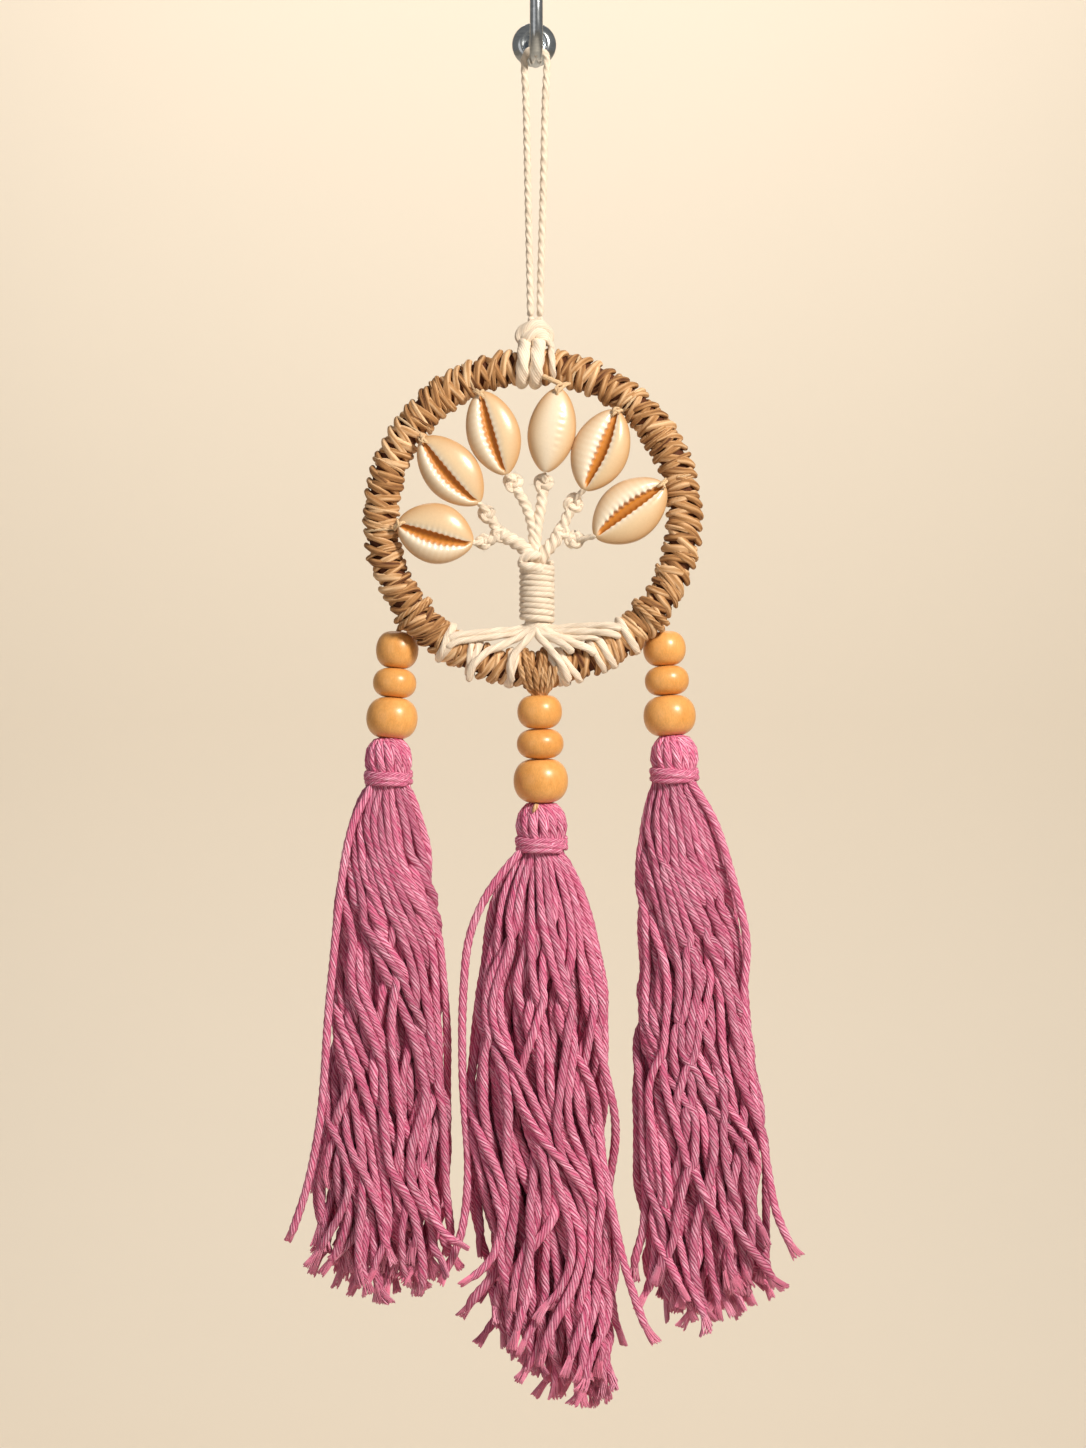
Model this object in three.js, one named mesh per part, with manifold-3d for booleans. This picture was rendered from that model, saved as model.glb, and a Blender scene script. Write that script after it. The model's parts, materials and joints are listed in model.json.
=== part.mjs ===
// Dreamcatcher hanging from a wall hook. Millimetres, +Z up, the front looks along -Y.
// The origin is the middle of the hook plate's back face, which lies on the wall at Y = 0.

import * as THREE from 'three';
import { mergeVertices } from 'three/addons/utils/BufferGeometryUtils.js';
import Module from 'manifold-3d';

const wasm = await Module();
wasm.setup();

// Driving dimensions
const GAP = 0.3;
const TURN = 2 * Math.PI;

// Hook: a domed plate on the wall and a bent steel rod
const PLATE_RADIUS = 6.6;
const PLATE_THICKNESS = 3;
const PLATE_DISH_DEPTH = 0.8;
const ROD_RADIUS = 1.9;
const ROD_SIDES = 8;
const ROD_STEPS = 17;
const ROD_ROUTE = [
  [0, -3.3, 0], [0, -5.8, -0.3], [0.2, -9.6, -3.2], [0.4, -13.5, -6.9], [0.5, -18, -8.2],
  [0.6, -22.5, -6.6], [0.7, -25.6, -2.2], [0.7, -26.6, 4], [0.7, -26.8, 12], [0.7, -27.4, 19],
];

// Hoop: a ring wrapped in twisted paper raffia
const HOOP_X = -0.4;
const HOOP_Y = -18;
const HOOP_Z = -142.6;
const HOOP_RADIUS = 44.6;
const TUBE_RADIUS = 5.05;
const WRAP_COUNT = 58;
const WRAP_RIDGE = 0.4;
const WRAP_SLANT = 1.5;
const TUBE_SIDES = 8;
const TUBE_REACH = TUBE_RADIUS + WRAP_RIDGE;

// Hanging cord: one loop of twisted cotton over the hook, with both ends in the top knot
const CORD_RADIUS = 1.0;
const CORD_LOBES = 3;
const CORD_LAY = 14;
const CORD_SIDES = 8;
const CORD_STEPS = 54;
const ROPE_RIDGE = 0.09;
const LOOP_ROUTE = [
  [-1.0, -18, -83.7], [-1.2, -18, -72], [-1.5, -18, -58], [-1.8, -18, -44], [-2.1, -18, -30],
  [-2.4, -18, -18], [-2.8, -18, -10.5], [-2.75, -18, -7.2], [-1.5, -18, -5.2], [0.5, -18, -4.5],
  [2.5, -18, -5.2], [3.75, -18, -7.2], [3.8, -18, -10.5], [3.4, -18, -18], [3.1, -18, -30],
  [2.8, -18, -44], [2.4, -18, -58], [2.0, -18, -72], [1.8, -18, -83.7],
];

// Top knot, from the hoop's middle, and the strands that hitch it to the hoop: the angle from +X,
// the lean along the hoop and the strand's radius
const KNOT_RIDGE = 0.08;
const KNOT_TURNS = 4;
const TOP_KNOT = { x: 0.7, y: 0, z: 54.4, half: { x: 5.2, y: 4.4, z: 3.7 }, turn: 8 };
const HITCHES = [
  { angle: 93.4, lean: -8, strand: 1.55 }, { angle: 88.2, lean: -4, strand: 1.55 },
  { angle: 82.4, lean: 12, strand: 0.85 },
];
const KNOT_TAIL = { strand: 0.85, route: [[3, -1, 53.6], [4.8, -2.6, 51.8], [6, -4.6, 49]] };

// Cowrie shells, by their inner and outer tips from the hoop's middle
const SHELL_DEPTH_RATIO = 0.62;
const SHELLS = [
  { innerX: -17.8, innerZ: -7.6, outerX: -38.4, outerZ: -2.2, width: 17.0, y: -5.1, back: 0, tieTurn: 2 },
  { innerX: -15.9, innerZ: 4.3, outerX: -31.7, outerZ: 22.2, width: 15.2, y: -4.6, back: 0, tieTurn: -1.5 },
  { innerX: -7.9, innerZ: 12.8, outerX: -15.0, outerZ: 35.7, width: 14.8, y: -4.6, back: 0, tieTurn: 2 },
  { innerX: 3.7, innerZ: 13.4, outerX: 7.6, outerZ: 36.9, width: 13.6, y: -4.8, back: 1, tieTurn: -4.5 },
  { innerX: 15.4, innerZ: 8.4, outerX: 24.2, outerZ: 30.2, width: 16.0, y: -5.1, back: 0, tieTurn: -2 },
  { innerX: 18.7, innerZ: -5.6, outerX: 37.6, outerZ: 8.8, width: 17.0, y: -4.6, back: 0, tieTurn: 1.5 },
];
// The shell's cross-section, in half widths: across to the right, and back towards the wall
const SHELL_SECTION = [
  { across: 1.0, back: -0.05 }, { across: 0.86, back: 0.5 }, { across: 0.5, back: 0.86 },
  { across: 0.0, back: 1.0 }, { across: -0.5, back: 0.86 }, { across: -0.86, back: 0.5 },
  { across: -1.0, back: -0.05 }, { across: -0.78, back: -0.56 }, { across: -0.3, back: -0.8 },
  { across: -0.12, back: -0.3 }, { across: 0.08, back: -0.82 }, { across: 0.62, back: -0.66 },
];
// The shell's outline along its length: place from the inner tip, and share of the full width
const SHELL_OUTLINE = [
  { rise: 0, size: 0.14 }, { rise: 0.05, size: 0.38 }, { rise: 0.16, size: 0.69 },
  { rise: 0.32, size: 0.93 }, { rise: 0.5, size: 1.0 }, { rise: 0.68, size: 0.92 },
  { rise: 0.84, size: 0.68 }, { rise: 0.95, size: 0.37 }, { rise: 1, size: 0.14 },
];
const TIE_STRAND = 0.5;
const TIE_FRONT = 5.0;
const TIE_BEFORE_TIP = 2.4;

// Tree of cotton strands: trunk, branches with their knots, and roots hitched to the hoop
const TRUNK_X = 1.3;
const TRUNK_TOP = -12.4;
const TRUNK_FOOT = -31.4;
const TRUNK_RADIUS = 5.3;
const TRUNK_BORE = 3.9;
const TRUNK_TURNS = 10;
const TRUNK_RIDGE = 0.4;
const STRAND_SIDES = 5;
const BRANCHES = [
  {
    strand: 1.35,
    route: [[1.0, -0.4, -13], [0.9, -0.4, -9], [1.3, -0.6, -3.2], [2.5, -0.8, 3.5], [3.1, -0.8, 9]],
  },
  {
    strand: 1.3,
    route: [[-0.4, -0.6, -13], [0.2, -0.6, -4.6], [-1.6, -0.8, 2.6], [-4.0, -1, 7.2], [-5.6, -1, 9.8]],
  },
  {
    strand: 1.75,
    route: [[1.0, -0.4, -13.6], [-0.7, -0.8, -10.6], [-4.3, -1.2, -7.7], [-7.9, -1, -5.6], [-9.9, -1, -4.6]],
  },
  { strand: 1.3, route: [[-9.8, -1, -4.9], [-11.6, -1, -1.4], [-13.2, -1, 0.8]] },
  { strand: 1.3, route: [[-9.6, -1, -5], [-11.8, -1, -6.4], [-14.2, -1, -7]] },
  { strand: 1.7, route: [[1.7, -0.3, -13.6], [3.5, -0.7, -10.4], [6.3, -1, -7], [8.4, -1, -3.8]] },
  { strand: 1.35, route: [[8.4, -1, -3.9], [9.4, -1.2, -1.2], [10.8, -1.2, 1.6], [12, -1.2, 3.6]] },
  { strand: 1.3, route: [[8.2, -1, -3.9], [10, -1, -5.4], [12.2, -1, -6.4], [15.8, -1, -6]] },
];
const BRANCH_KNOTS = [
  { x: 3.1, y: -0.8, z: 10.1, across: 2.8, tall: 2.7, turn: 10 },
  { x: -5.8, y: -1, z: 10.3, across: 2.7, tall: 2.9, turn: 30 },
  { x: -9.8, y: -1, z: -4.9, across: 2.5, tall: 2.3, turn: 60 },
  { x: -13.5, y: -1, z: 1.1, across: 2.5, tall: 2.5, turn: 40 },
  { x: -14.6, y: -1, z: -7.1, across: 2.3, tall: 2.1, turn: 80 },
  { x: 8.5, y: -1, z: -3.9, across: 2.3, tall: 2.3, turn: -40 },
  { x: 12, y: -1.2, z: 4.2, across: 2.6, tall: 3.2, turn: -30 },
  { x: 12.1, y: -1, z: -6.5, across: 2.7, tall: 2.4, turn: 80 },
];
const ROOTS = [
  { strand: 1.15, route: [[1.3, 0, -33], [-4, -2, -33.4], [-14, -5, -34.3], [-23.6, -6.9, -35.4]] },
  {
    strand: 1.05,
    route: [[1.3, -0.6, -33.2], [-4, -3.6, -35.4], [-10.4, -6.4, -38.4], [-17.6, -6.8, -41.6]],
  },
  { strand: 1.05, route: [[1.3, -1.2, -33.2], [-1.6, -4.4, -36.4], [-4.4, -6.6, -39.6], [-6.4, -6.8, -43]] },
  { strand: 1.05, route: [[1.3, -1.2, -33.2], [4.2, -4.6, -36], [6.6, -6.6, -39.2], [8.4, -6.9, -42]] },
  { strand: 1.05, route: [[1.3, -0.8, -33], [5.8, -3.6, -35.4], [10, -6, -38.2], [12, -6.8, -41]] },
  { strand: 1.05, route: [[1.3, -0.6, -33], [7, -3, -35.2], [14, -5.8, -37.9], [17.6, -6.9, -39.6]] },
  { strand: 1.1, route: [[1.3, 0, -32.9], [8, -1.8, -32.9], [17, -4.8, -33.2], [26, -6.8, -33.6]] },
];
// Where each root goes round the hoop: the angle from +X, the lean of its turn and its strand
const ROOT_TURNS = [
  { angle: -124, lean: 4, strand: 1.25 }, { angle: -115, lean: 14, strand: 1.05 },
  { angle: -112.5, lean: -14, strand: 1.05 }, { angle: -98.4, lean: -4, strand: 1.05 },
  { angle: -79.3, lean: 10, strand: 1.05 }, { angle: -74.4, lean: 20, strand: 1.05 },
  { angle: -64.2, lean: 18, strand: 1.05 }, { angle: -51, lean: -4, strand: 1.25 },
];

// Wooden beads: each column's cord starts at the hoop and runs straight from head to foot, and each
// bead has its height on that line, its width and how tall it is
const BEAD_BORE = 1.3;
const BEAD_CORD = 0.75;
const BEAD_SEGMENTS = 12;
const COLUMNS = [
  {
    name: 'left', turns: [{ angle: -141.5, lean: 0 }], start: [-39.1, -13, -173.3],
    head: [-40.0, -12.0, -175.2], foot: [-42.4, -13.9, -207.2],
    beads: [
      { z: -181.3, width: 12.6, tall: 10.6 }, { z: -191.1, width: 12.9, tall: 8.4 },
      { z: -201.5, width: 15.2, tall: 11.8 },
    ],
  },
  {
    name: 'middle', turns: [{ angle: -91.0, lean: 16 }, { angle: -86.3, lean: -8 }],
    start: [1.55, -18.05, -193.2], head: [1.6, -18, -194.6], foot: [2.1, -16.8, -226.4],
    beads: [
      { z: -199.6, width: 13.2, tall: 9.6 }, { z: -209.0, width: 13.8, tall: 8.5 },
      { z: -219.9, width: 16.1, tall: 12.6 },
    ],
  },
  {
    name: 'right', turns: [{ angle: -39.5, lean: 0 }], start: [37.7, -12.6, -173.4],
    head: [38.1, -11.9, -175.0], foot: [40.5, -13.9, -206.6],
    beads: [
      { z: -180.95, width: 12.7, tall: 9.9 }, { z: -190.4, width: 13.1, tall: 8.4 },
      { z: -200.8, width: 15.5, tall: 11.6 },
    ],
  },
];

// Tassels: head, band and skirt of twisted yarn
const HEAD_FLUTES = 9;
const HEAD_FLUTE_RISE = 0.3;
const BAND_HEIGHT = 5.2;
const BAND_TURNS = 3;
const BAND_PROUD = 0.2;
const BAND_GROOVE = 0.5;
const BAND_SEGMENTS = 12;
const NECK_RADIUS = 5.4;
const COLLAR_RADIUS = 6.2;
const COLLAR_HEIGHT = 1.4;
const YARN_SIDES = 3;
const YARN_RADIUS = 1.5;
const YARN_ROOT = 0.62;
const YARN_FILL = 0.125;
const YARN_CLEAR = 0.6;
const YARN_FRACTIONS = [0, 0.06, 0.25, 0.6, 1];
// The skirt opens to its full width over the first drop, and its yarns swirl down to the second
const OPEN_DROP = 8;
const SWIRL_DROP = 130;
// Layers of yarn from the middle outwards: how many, share of the skirt's radius, root ring
const YARN_LAYERS = [
  { count: 3, share: 0.16, root: 0.85 }, { count: 8, share: 0.42, root: 2.35 },
  { count: 14, share: 0.71, root: 3.85 }, { count: 19, share: 1.0, root: 5.3 },
];
// Skirt edges are measured at each drop below the band, as X left and X right
const TASSELS = [
  {
    name: 'left', x: -43.0, y: -14.4, headTop: -207.7, headFoot: -216.2, width: 13.9,
    swirl: 75, reach: 136, reachSlope: -9, reachSpread: 16,
    skirt: [
      { drop: 0, left: -49.4, right: -36.6 }, { drop: 3, left: -53.2, right: -34.0 },
      { drop: 13, left: -55.6, right: -31.2 }, { drop: 36, left: -59.4, right: -27.4 },
      { drop: 66, left: -60.6, right: -24.6 }, { drop: 95, left: -64.0, right: -23.6 },
      { drop: 150, left: -68.0, right: -24.6 },
    ],
  },
  {
    name: 'middle', x: 2.2, y: -16.2, headTop: -226.7, headFoot: -235.6, width: 15.0,
    swirl: 20, reach: 148, reachSlope: 7, reachSpread: 22,
    skirt: [
      { drop: 0, left: -4.6, right: 9.0 }, { drop: 3, left: -8.0, right: 12.2 },
      { drop: 14, left: -13.8, right: 16.6 }, { drop: 43, left: -19.2, right: 22.8 },
      { drop: 73, left: -20.8, right: 25.8 }, { drop: 102, left: -21.4, right: 26.4 },
      { drop: 170, left: -17.0, right: 25.4 },
    ],
  },
  {
    name: 'right', x: 41.4, y: -14.4, headTop: -206.9, headFoot: -215.1, width: 14.1,
    swirl: 45, reach: 150, reachSlope: 0, reachSpread: 18,
    skirt: [
      { drop: 0, left: 34.8, right: 48.0 }, { drop: 5, left: 32.0, right: 52.0 },
      { drop: 20, left: 30.0, right: 56.8 }, { drop: 49, left: 29.2, right: 62.0 },
      { drop: 79, left: 28.6, right: 65.2 }, { drop: 108, left: 28.8, right: 70.2 },
      { drop: 165, left: 31.0, right: 71.6 },
    ],
  },
];
const SKIRT_DEPTH_RATIO = 0.62;
const SKIRT_DEPTH_LIMIT = 13;

// Colours and finishes
const steel = () => new THREE.MeshStandardMaterial({ color: 0xb9a78e, roughness: 0.35, metalness: 0.9 });
const cotton = () => new THREE.MeshStandardMaterial({ color: 0xefe2cf, roughness: 0.95, metalness: 0 });
const raffia = () => new THREE.MeshStandardMaterial({ color: 0xa67b4f, roughness: 0.85, metalness: 0 });
const cowrie = () => new THREE.MeshStandardMaterial({ color: 0xf1d9b8, roughness: 0.25, metalness: 0 });
const wood = () => new THREE.MeshStandardMaterial({ color: 0xd9984c, roughness: 0.35, metalness: 0 });
const yarn = () => new THREE.MeshStandardMaterial({ color: 0xbf6a8c, roughness: 0.95, metalness: 0 });

const vector = ([x, y, z]) => new THREE.Vector3(x, y, z);
const radians = (degrees) => THREE.MathUtils.degToRad(degrees);
const smooth = (route) => new THREE.CatmullRomCurve3(route.map(vector), false, 'centripetal');

// An even spread of numbers from 0 to 1, one for each count and kind of use.
function spread(count, use) {
  const mixed = count * 0.618034 + use * 0.754878;
  return mixed - Math.floor(mixed);
}

// The value of a column at a place, between the rows of a table.
function between(rows, key, place, column) {
  let row = 1;
  while (row < rows.length - 1 && rows[row][key] < place) row += 1;
  const low = rows[row - 1];
  const high = rows[row];
  const share = THREE.MathUtils.clamp((place - low[key]) / (high[key] - low[key]), 0, 1);
  return THREE.MathUtils.lerp(low[column], high[column], share);
}

// The same shape with its shared points merged, and without the empty faces that leaves on an axis.
function sealed(geometry) {
  const bare = geometry.clone();
  bare.deleteAttribute('normal');
  bare.deleteAttribute('uv');
  const closed = mergeVertices(bare, 1e-4);
  const faces = [];
  for (let i = 0; i < closed.index.count; i += 3) {
    const [a, b, c] = [0, 1, 2].map((corner) => closed.index.getX(i + corner));
    if (a !== b && b !== c && c !== a) faces.push(a, b, c);
  }
  return closed.setIndex(faces);
}

// One closed shape from several that run into each other.
function united(geometries) {
  const solids = geometries.map((geometry) => {
    const closed = sealed(geometry);
    const vertProperties = new Float32Array(closed.attributes.position.array);
    const triVerts = new Uint32Array(closed.index.array);
    return new wasm.Manifold(new wasm.Mesh({ numProp: 3, vertProperties, triVerts }));
  });
  const whole = solids.reduce((sum, solid) => sum.add(solid)).getMesh();
  const geometry = new THREE.BufferGeometry();
  geometry.setAttribute('position', new THREE.BufferAttribute(new Float32Array(whole.vertProperties), 3));
  geometry.setIndex(new THREE.BufferAttribute(new Uint32Array(whole.triVerts), 1));
  return geometry;
}

function piece(name, geometry, material) {
  const shape = sealed(geometry);
  shape.computeVertexNormals();
  const mesh = new THREE.Mesh(shape, material);
  mesh.name = name;
  return mesh;
}

// Moves every point of a geometry to where place() puts it.
function moved(geometry, place) {
  const spots = geometry.attributes.position;
  const spot = new THREE.Vector3();
  for (let i = 0; i < spots.count; i += 1) {
    spot.fromBufferAttribute(spots, i);
    const target = place(spot);
    spots.setXYZ(i, target.x, target.y, target.z);
  }
  return geometry;
}

// A tube along a curve. radiusAt(rise, turn) sets how far each point stands from the curve.
function tube(curve, sides, steps, radiusAt) {
  const thin = 0.01;
  const corners = Array.from({ length: sides }, (_, i) => new THREE.Vector2(
    thin * Math.cos((TURN * i) / sides),
    thin * Math.sin((TURN * i) / sides),
  ));
  const section = new THREE.Shape(corners);
  const geometry = new THREE.ExtrudeGeometry(section, { steps, extrudePath: curve, bevelEnabled: false });
  const centres = curve.getSpacedPoints(steps);
  const frames = curve.computeFrenetFrames(steps, false);
  return moved(geometry, (spot) => {
    let ring = 0;
    centres.forEach((centre, i) => {
      if (spot.distanceTo(centre) < spot.distanceTo(centres[ring])) ring = i;
    });
    const arm = spot.clone().sub(centres[ring]).normalize();
    const turn = Math.atan2(arm.dot(frames.binormals[ring]), arm.dot(frames.normals[ring]));
    return arm.multiplyScalar(radiusAt(ring / steps, turn)).add(centres[ring]);
  });
}

// The radius of a twisted rope: its lobes go once round in each lay.
function ropeRadius(radius, lobes, lay, length) {
  return (rise, turn) => radius * (1 + ROPE_RIDGE * Math.cos(lobes * (turn - (TURN * rise * length) / lay)));
}

// A short strand of two twisted plies, with a ring of points at every quarter of a ply's turn.
function strandAlong(route, radius) {
  const curve = smooth(route);
  const length = curve.getLength();
  const spacing = 3 * radius;
  const steps = Math.max(2, Math.round(length / spacing));
  return tube(curve, STRAND_SIDES, steps, ropeRadius(radius, 2, 6 * spacing, length));
}

// A knot: a round lump with ridges where its strand goes round, turned in the hoop's plane.
function knot({ x, y, z }, half, turnDegrees) {
  const ridged = moved(new THREE.SphereGeometry(1, 2 * KNOT_TURNS, 4), (spot) => {
    const angle = Math.atan2(spot.z, spot.x);
    const ridge = 1 + KNOT_RIDGE * Math.cos(KNOT_TURNS * angle);
    return new THREE.Vector3(spot.x * ridge, spot.y, spot.z * ridge);
  });
  ridged.rotateX(Math.PI / 2);
  ridged.scale(half.x, half.y, half.z);
  ridged.rotateY(radians(turnDegrees));
  return ridged.translate(x, y, z);
}

// One turn of strand round the hoop's tube, at an angle round the hoop and leaning along it.
function turnRoundHoop({ angle, lean, strand }, segments, sides = 4) {
  const clear = (TUBE_REACH + GAP) / Math.cos(Math.PI / segments);
  const ring = new THREE.TorusGeometry(clear + strand, strand, sides, segments);
  const place = radians(angle);
  const slant = radians(lean);
  const outwards = new THREE.Vector3(Math.cos(place + slant), 0, Math.sin(place + slant));
  const backwards = new THREE.Vector3(0, 1, 0);
  const stand = new THREE.Matrix4().makeBasis(outwards, backwards, outwards.clone().cross(backwards));
  stand.setPosition(HOOP_RADIUS * Math.cos(place), 0, HOOP_RADIUS * Math.sin(place));
  ring.scale(1 / Math.cos(slant), 1, 1);
  return ring.applyMatrix4(stand);
}

function lathe(profile, segments) {
  const points = profile.map(([out, up]) => new THREE.Vector2(out, up));
  return new THREE.LatheGeometry(points, segments).rotateX(Math.PI / 2);
}

function hookPlate() {
  const rim = PLATE_RADIUS;
  const top = PLATE_THICKNESS;
  const profile = [
    [0, 0], [rim, 0], [rim, 0.3 * top], [0.9 * rim, 0.7 * top], [0.66 * rim, top],
    [0.4 * rim, 0.93 * top], [0, top - PLATE_DISH_DEPTH],
  ];
  const geometry = lathe(profile, 20).rotateX(Math.PI / 2);
  return piece('hook_plate', geometry, steel());
}

function hookRod() {
  return piece('hook_rod', tube(smooth(ROD_ROUTE), ROD_SIDES, ROD_STEPS, () => ROD_RADIUS), steel());
}

function hangingLoop() {
  const curve = smooth(LOOP_ROUTE);
  const radiusAt = ropeRadius(CORD_RADIUS, CORD_LOBES, CORD_LAY, curve.getLength());
  return piece('hanging_loop', tube(curve, CORD_SIDES, CORD_STEPS, radiusAt), cotton());
}

// The overhand knot on top of the hoop, with the strands that hitch it to the hoop.
function topKnot() {
  const body = knot(TOP_KNOT, TOP_KNOT.half, TOP_KNOT.turn);
  const turns = HITCHES.map((hitch) => turnRoundHoop(hitch, 12));
  const tail = strandAlong(KNOT_TAIL.route, KNOT_TAIL.strand);
  return piece('top_knot', united([body, tail, ...turns]), cotton());
}

// The hoop: each turn of raffia is a ridge that slants across the tube.
function hoop() {
  const ringSteps = 2 * WRAP_COUNT;
  const ring = new THREE.TorusGeometry(HOOP_RADIUS, TUBE_RADIUS, TUBE_SIDES, ringSteps);
  moved(ring, (spot) => {
    const angle = Math.atan2(spot.y, spot.x);
    const centre = new THREE.Vector3(Math.cos(angle), Math.sin(angle), 0).multiplyScalar(HOOP_RADIUS);
    const arm = spot.clone().sub(centre);
    const isRidge = Math.round((angle / TURN) * ringSteps) % 2 === 0;
    const sideways = Math.hypot(spot.x, spot.y) - HOOP_RADIUS;
    const slant = (WRAP_SLANT * sideways) / (TUBE_RADIUS * HOOP_RADIUS);
    arm.setLength(TUBE_RADIUS + (isRidge ? WRAP_RIDGE : -WRAP_RIDGE));
    return centre.add(arm).applyAxisAngle(new THREE.Vector3(0, 0, 1), slant);
  });
  return piece('hoop', ring.rotateX(Math.PI / 2), raffia());
}

// A cowrie shell: a pointed oval with a domed back and a slit between two lips on its flat side.
function shell(number, { innerX, innerZ, outerX, outerZ, width, y, back }) {
  const sides = SHELL_SECTION.length;
  const steps = SHELL_OUTLINE.length - 1;
  const inner = new THREE.Vector3(innerX, y, innerZ);
  const along = new THREE.Vector3(outerX, y, outerZ).sub(inner);
  const facing = back ? -1 : 1;
  const behind = new THREE.Vector3(0, facing, 0);
  const across = behind.clone().cross(along).normalize();
  const half = width / 2;
  const geometry = moved(new THREE.CylinderGeometry(1, 1, 1, sides, steps), (spot) => {
    const corner = (Math.round((Math.atan2(spot.x, spot.z) / TURN) * sides) + sides) % sides;
    const ring = SHELL_OUTLINE[Math.round((spot.y + 0.5) * steps)];
    const reach = Math.hypot(spot.x, spot.z) > 0.5 ? half * ring.size : 0;
    return inner.clone().addScaledVector(along, ring.rise)
      .addScaledVector(across, reach * SHELL_SECTION[corner].across)
      .addScaledVector(behind, reach * SHELL_SECTION[corner].back * SHELL_DEPTH_RATIO);
  });
  return piece(`shell_${number}`, geometry, cowrie());
}

// The lashing of a shell: a turn round the hoop and a short strand over the shell's outer tip.
function shellTie(number, { outerX, outerZ, y, tieTurn }) {
  const segments = 10;
  const angle = THREE.MathUtils.radToDeg(Math.atan2(outerZ, outerX)) + tieTurn;
  const turn = turnRoundHoop({ angle, lean: 0, strand: TIE_STRAND }, segments, 3);
  const middle = (TUBE_REACH + GAP) / Math.cos(Math.PI / segments) + TIE_STRAND;
  const out = HOOP_RADIUS - Math.sqrt(middle ** 2 - TIE_FRONT ** 2);
  const place = radians(angle);
  const from = new THREE.Vector3(out * Math.cos(place), -TIE_FRONT, out * Math.sin(place));
  const to = new THREE.Vector3(outerX, y - TIE_BEFORE_TIP, outerZ);
  const over = tube(new THREE.LineCurve3(from, to), 4, 1, () => TIE_STRAND);
  return piece(`shell_tie_${number}`, united([turn, over]), cotton());
}

function trunkWrap() {
  const pitch = (TRUNK_TOP - TRUNK_FOOT) / TRUNK_TURNS;
  const profile = [[TRUNK_RADIUS - TRUNK_RIDGE, TRUNK_FOOT]];
  for (let turn = 0; turn < TRUNK_TURNS; turn += 1) {
    profile.push([TRUNK_RADIUS, TRUNK_FOOT + (turn + 0.5) * pitch]);
    profile.push([TRUNK_RADIUS - TRUNK_RIDGE, TRUNK_FOOT + (turn + 1) * pitch]);
  }
  profile.push([TRUNK_BORE, TRUNK_TOP], [TRUNK_BORE, TRUNK_FOOT], profile[0]);
  return piece('trunk_wrap', lathe(profile, 10).translate(TRUNK_X, 0, 0), cotton());
}

// The bundle inside the trunk, its branches and knots above, and its roots round the hoop.
function treeCords() {
  const coreTop = TRUNK_TOP + GAP;
  const coreFoot = TRUNK_FOOT - 2;
  const core = new THREE.CylinderGeometry(TRUNK_BORE - GAP, TRUNK_BORE - GAP, coreTop - coreFoot, 10);
  core.rotateX(Math.PI / 2).translate(TRUNK_X, 0, (coreTop + coreFoot) / 2);
  const branches = BRANCHES.map(({ strand, route }) => strandAlong(route, strand));
  const knots = BRANCH_KNOTS.map((row) => {
    const half = { x: row.across, y: row.across, z: row.tall };
    return knot(row, half, row.turn);
  });
  const roots = ROOTS.map(({ strand, route }) => strandAlong(route, strand));
  const turns = ROOT_TURNS.map((turn) => turnRoundHoop(turn, 10));
  return piece('tree_cords', united([core, ...branches, ...knots, ...roots, ...turns]), cotton());
}

// A bead: a turned barrel with a bore, set along its cord.
function bead(column, number, { z, width, tall }) {
  const half = tall / 2;
  const shoulder = 0.31 * width;
  const profile = [
    [shoulder, -half], [0.5 * width, -0.38 * half], [0.5 * width, 0.38 * half], [shoulder, half],
    [BEAD_BORE, half], [BEAD_BORE, -half], [shoulder, -half],
  ];
  const head = vector(column.head);
  const run = vector(column.foot).sub(head);
  const mesh = piece(`bead_${column.name}_${number}`, lathe(profile, BEAD_SEGMENTS), wood());
  mesh.position.copy(head).addScaledVector(run, (z - head.z) / run.z);
  mesh.quaternion.setFromUnitVectors(new THREE.Vector3(0, 0, -1), run.normalize());
  return mesh;
}

// The cord of a column of beads: its turns round the hoop and its run down to the tassel.
function beadCord({ name, turns, start, head, foot }) {
  const round = turns.map((turn) => turnRoundHoop({ ...turn, strand: BEAD_CORD }, 12));
  round.forEach((turn) => turn.translate(HOOP_X, HOOP_Y, HOOP_Z));
  const bend = head.map((value, axis) => value + 0.08 * (foot[axis] - value));
  const run = tube(smooth([start, head, bend, foot]), 6, 10, () => BEAD_CORD);
  return piece(`bead_cord_${name}`, united([run, ...round]), raffia());
}

function beadColumn(column) {
  const group = new THREE.Group();
  column.beads.forEach((row, i) => group.add(bead(column, i + 1, row)));
  group.add(beadCord(column));
  return group;
}

// The heights of a tassel's parts, from its head down.
function tasselLevels({ headTop, headFoot }) {
  const bandTop = headFoot - GAP;
  const bandFoot = bandTop - BAND_HEIGHT;
  const collarTop = bandFoot - GAP;
  return { headTop, headFoot, bandTop, bandFoot, collarTop, collarFoot: collarTop - COLLAR_HEIGHT };
}

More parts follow.
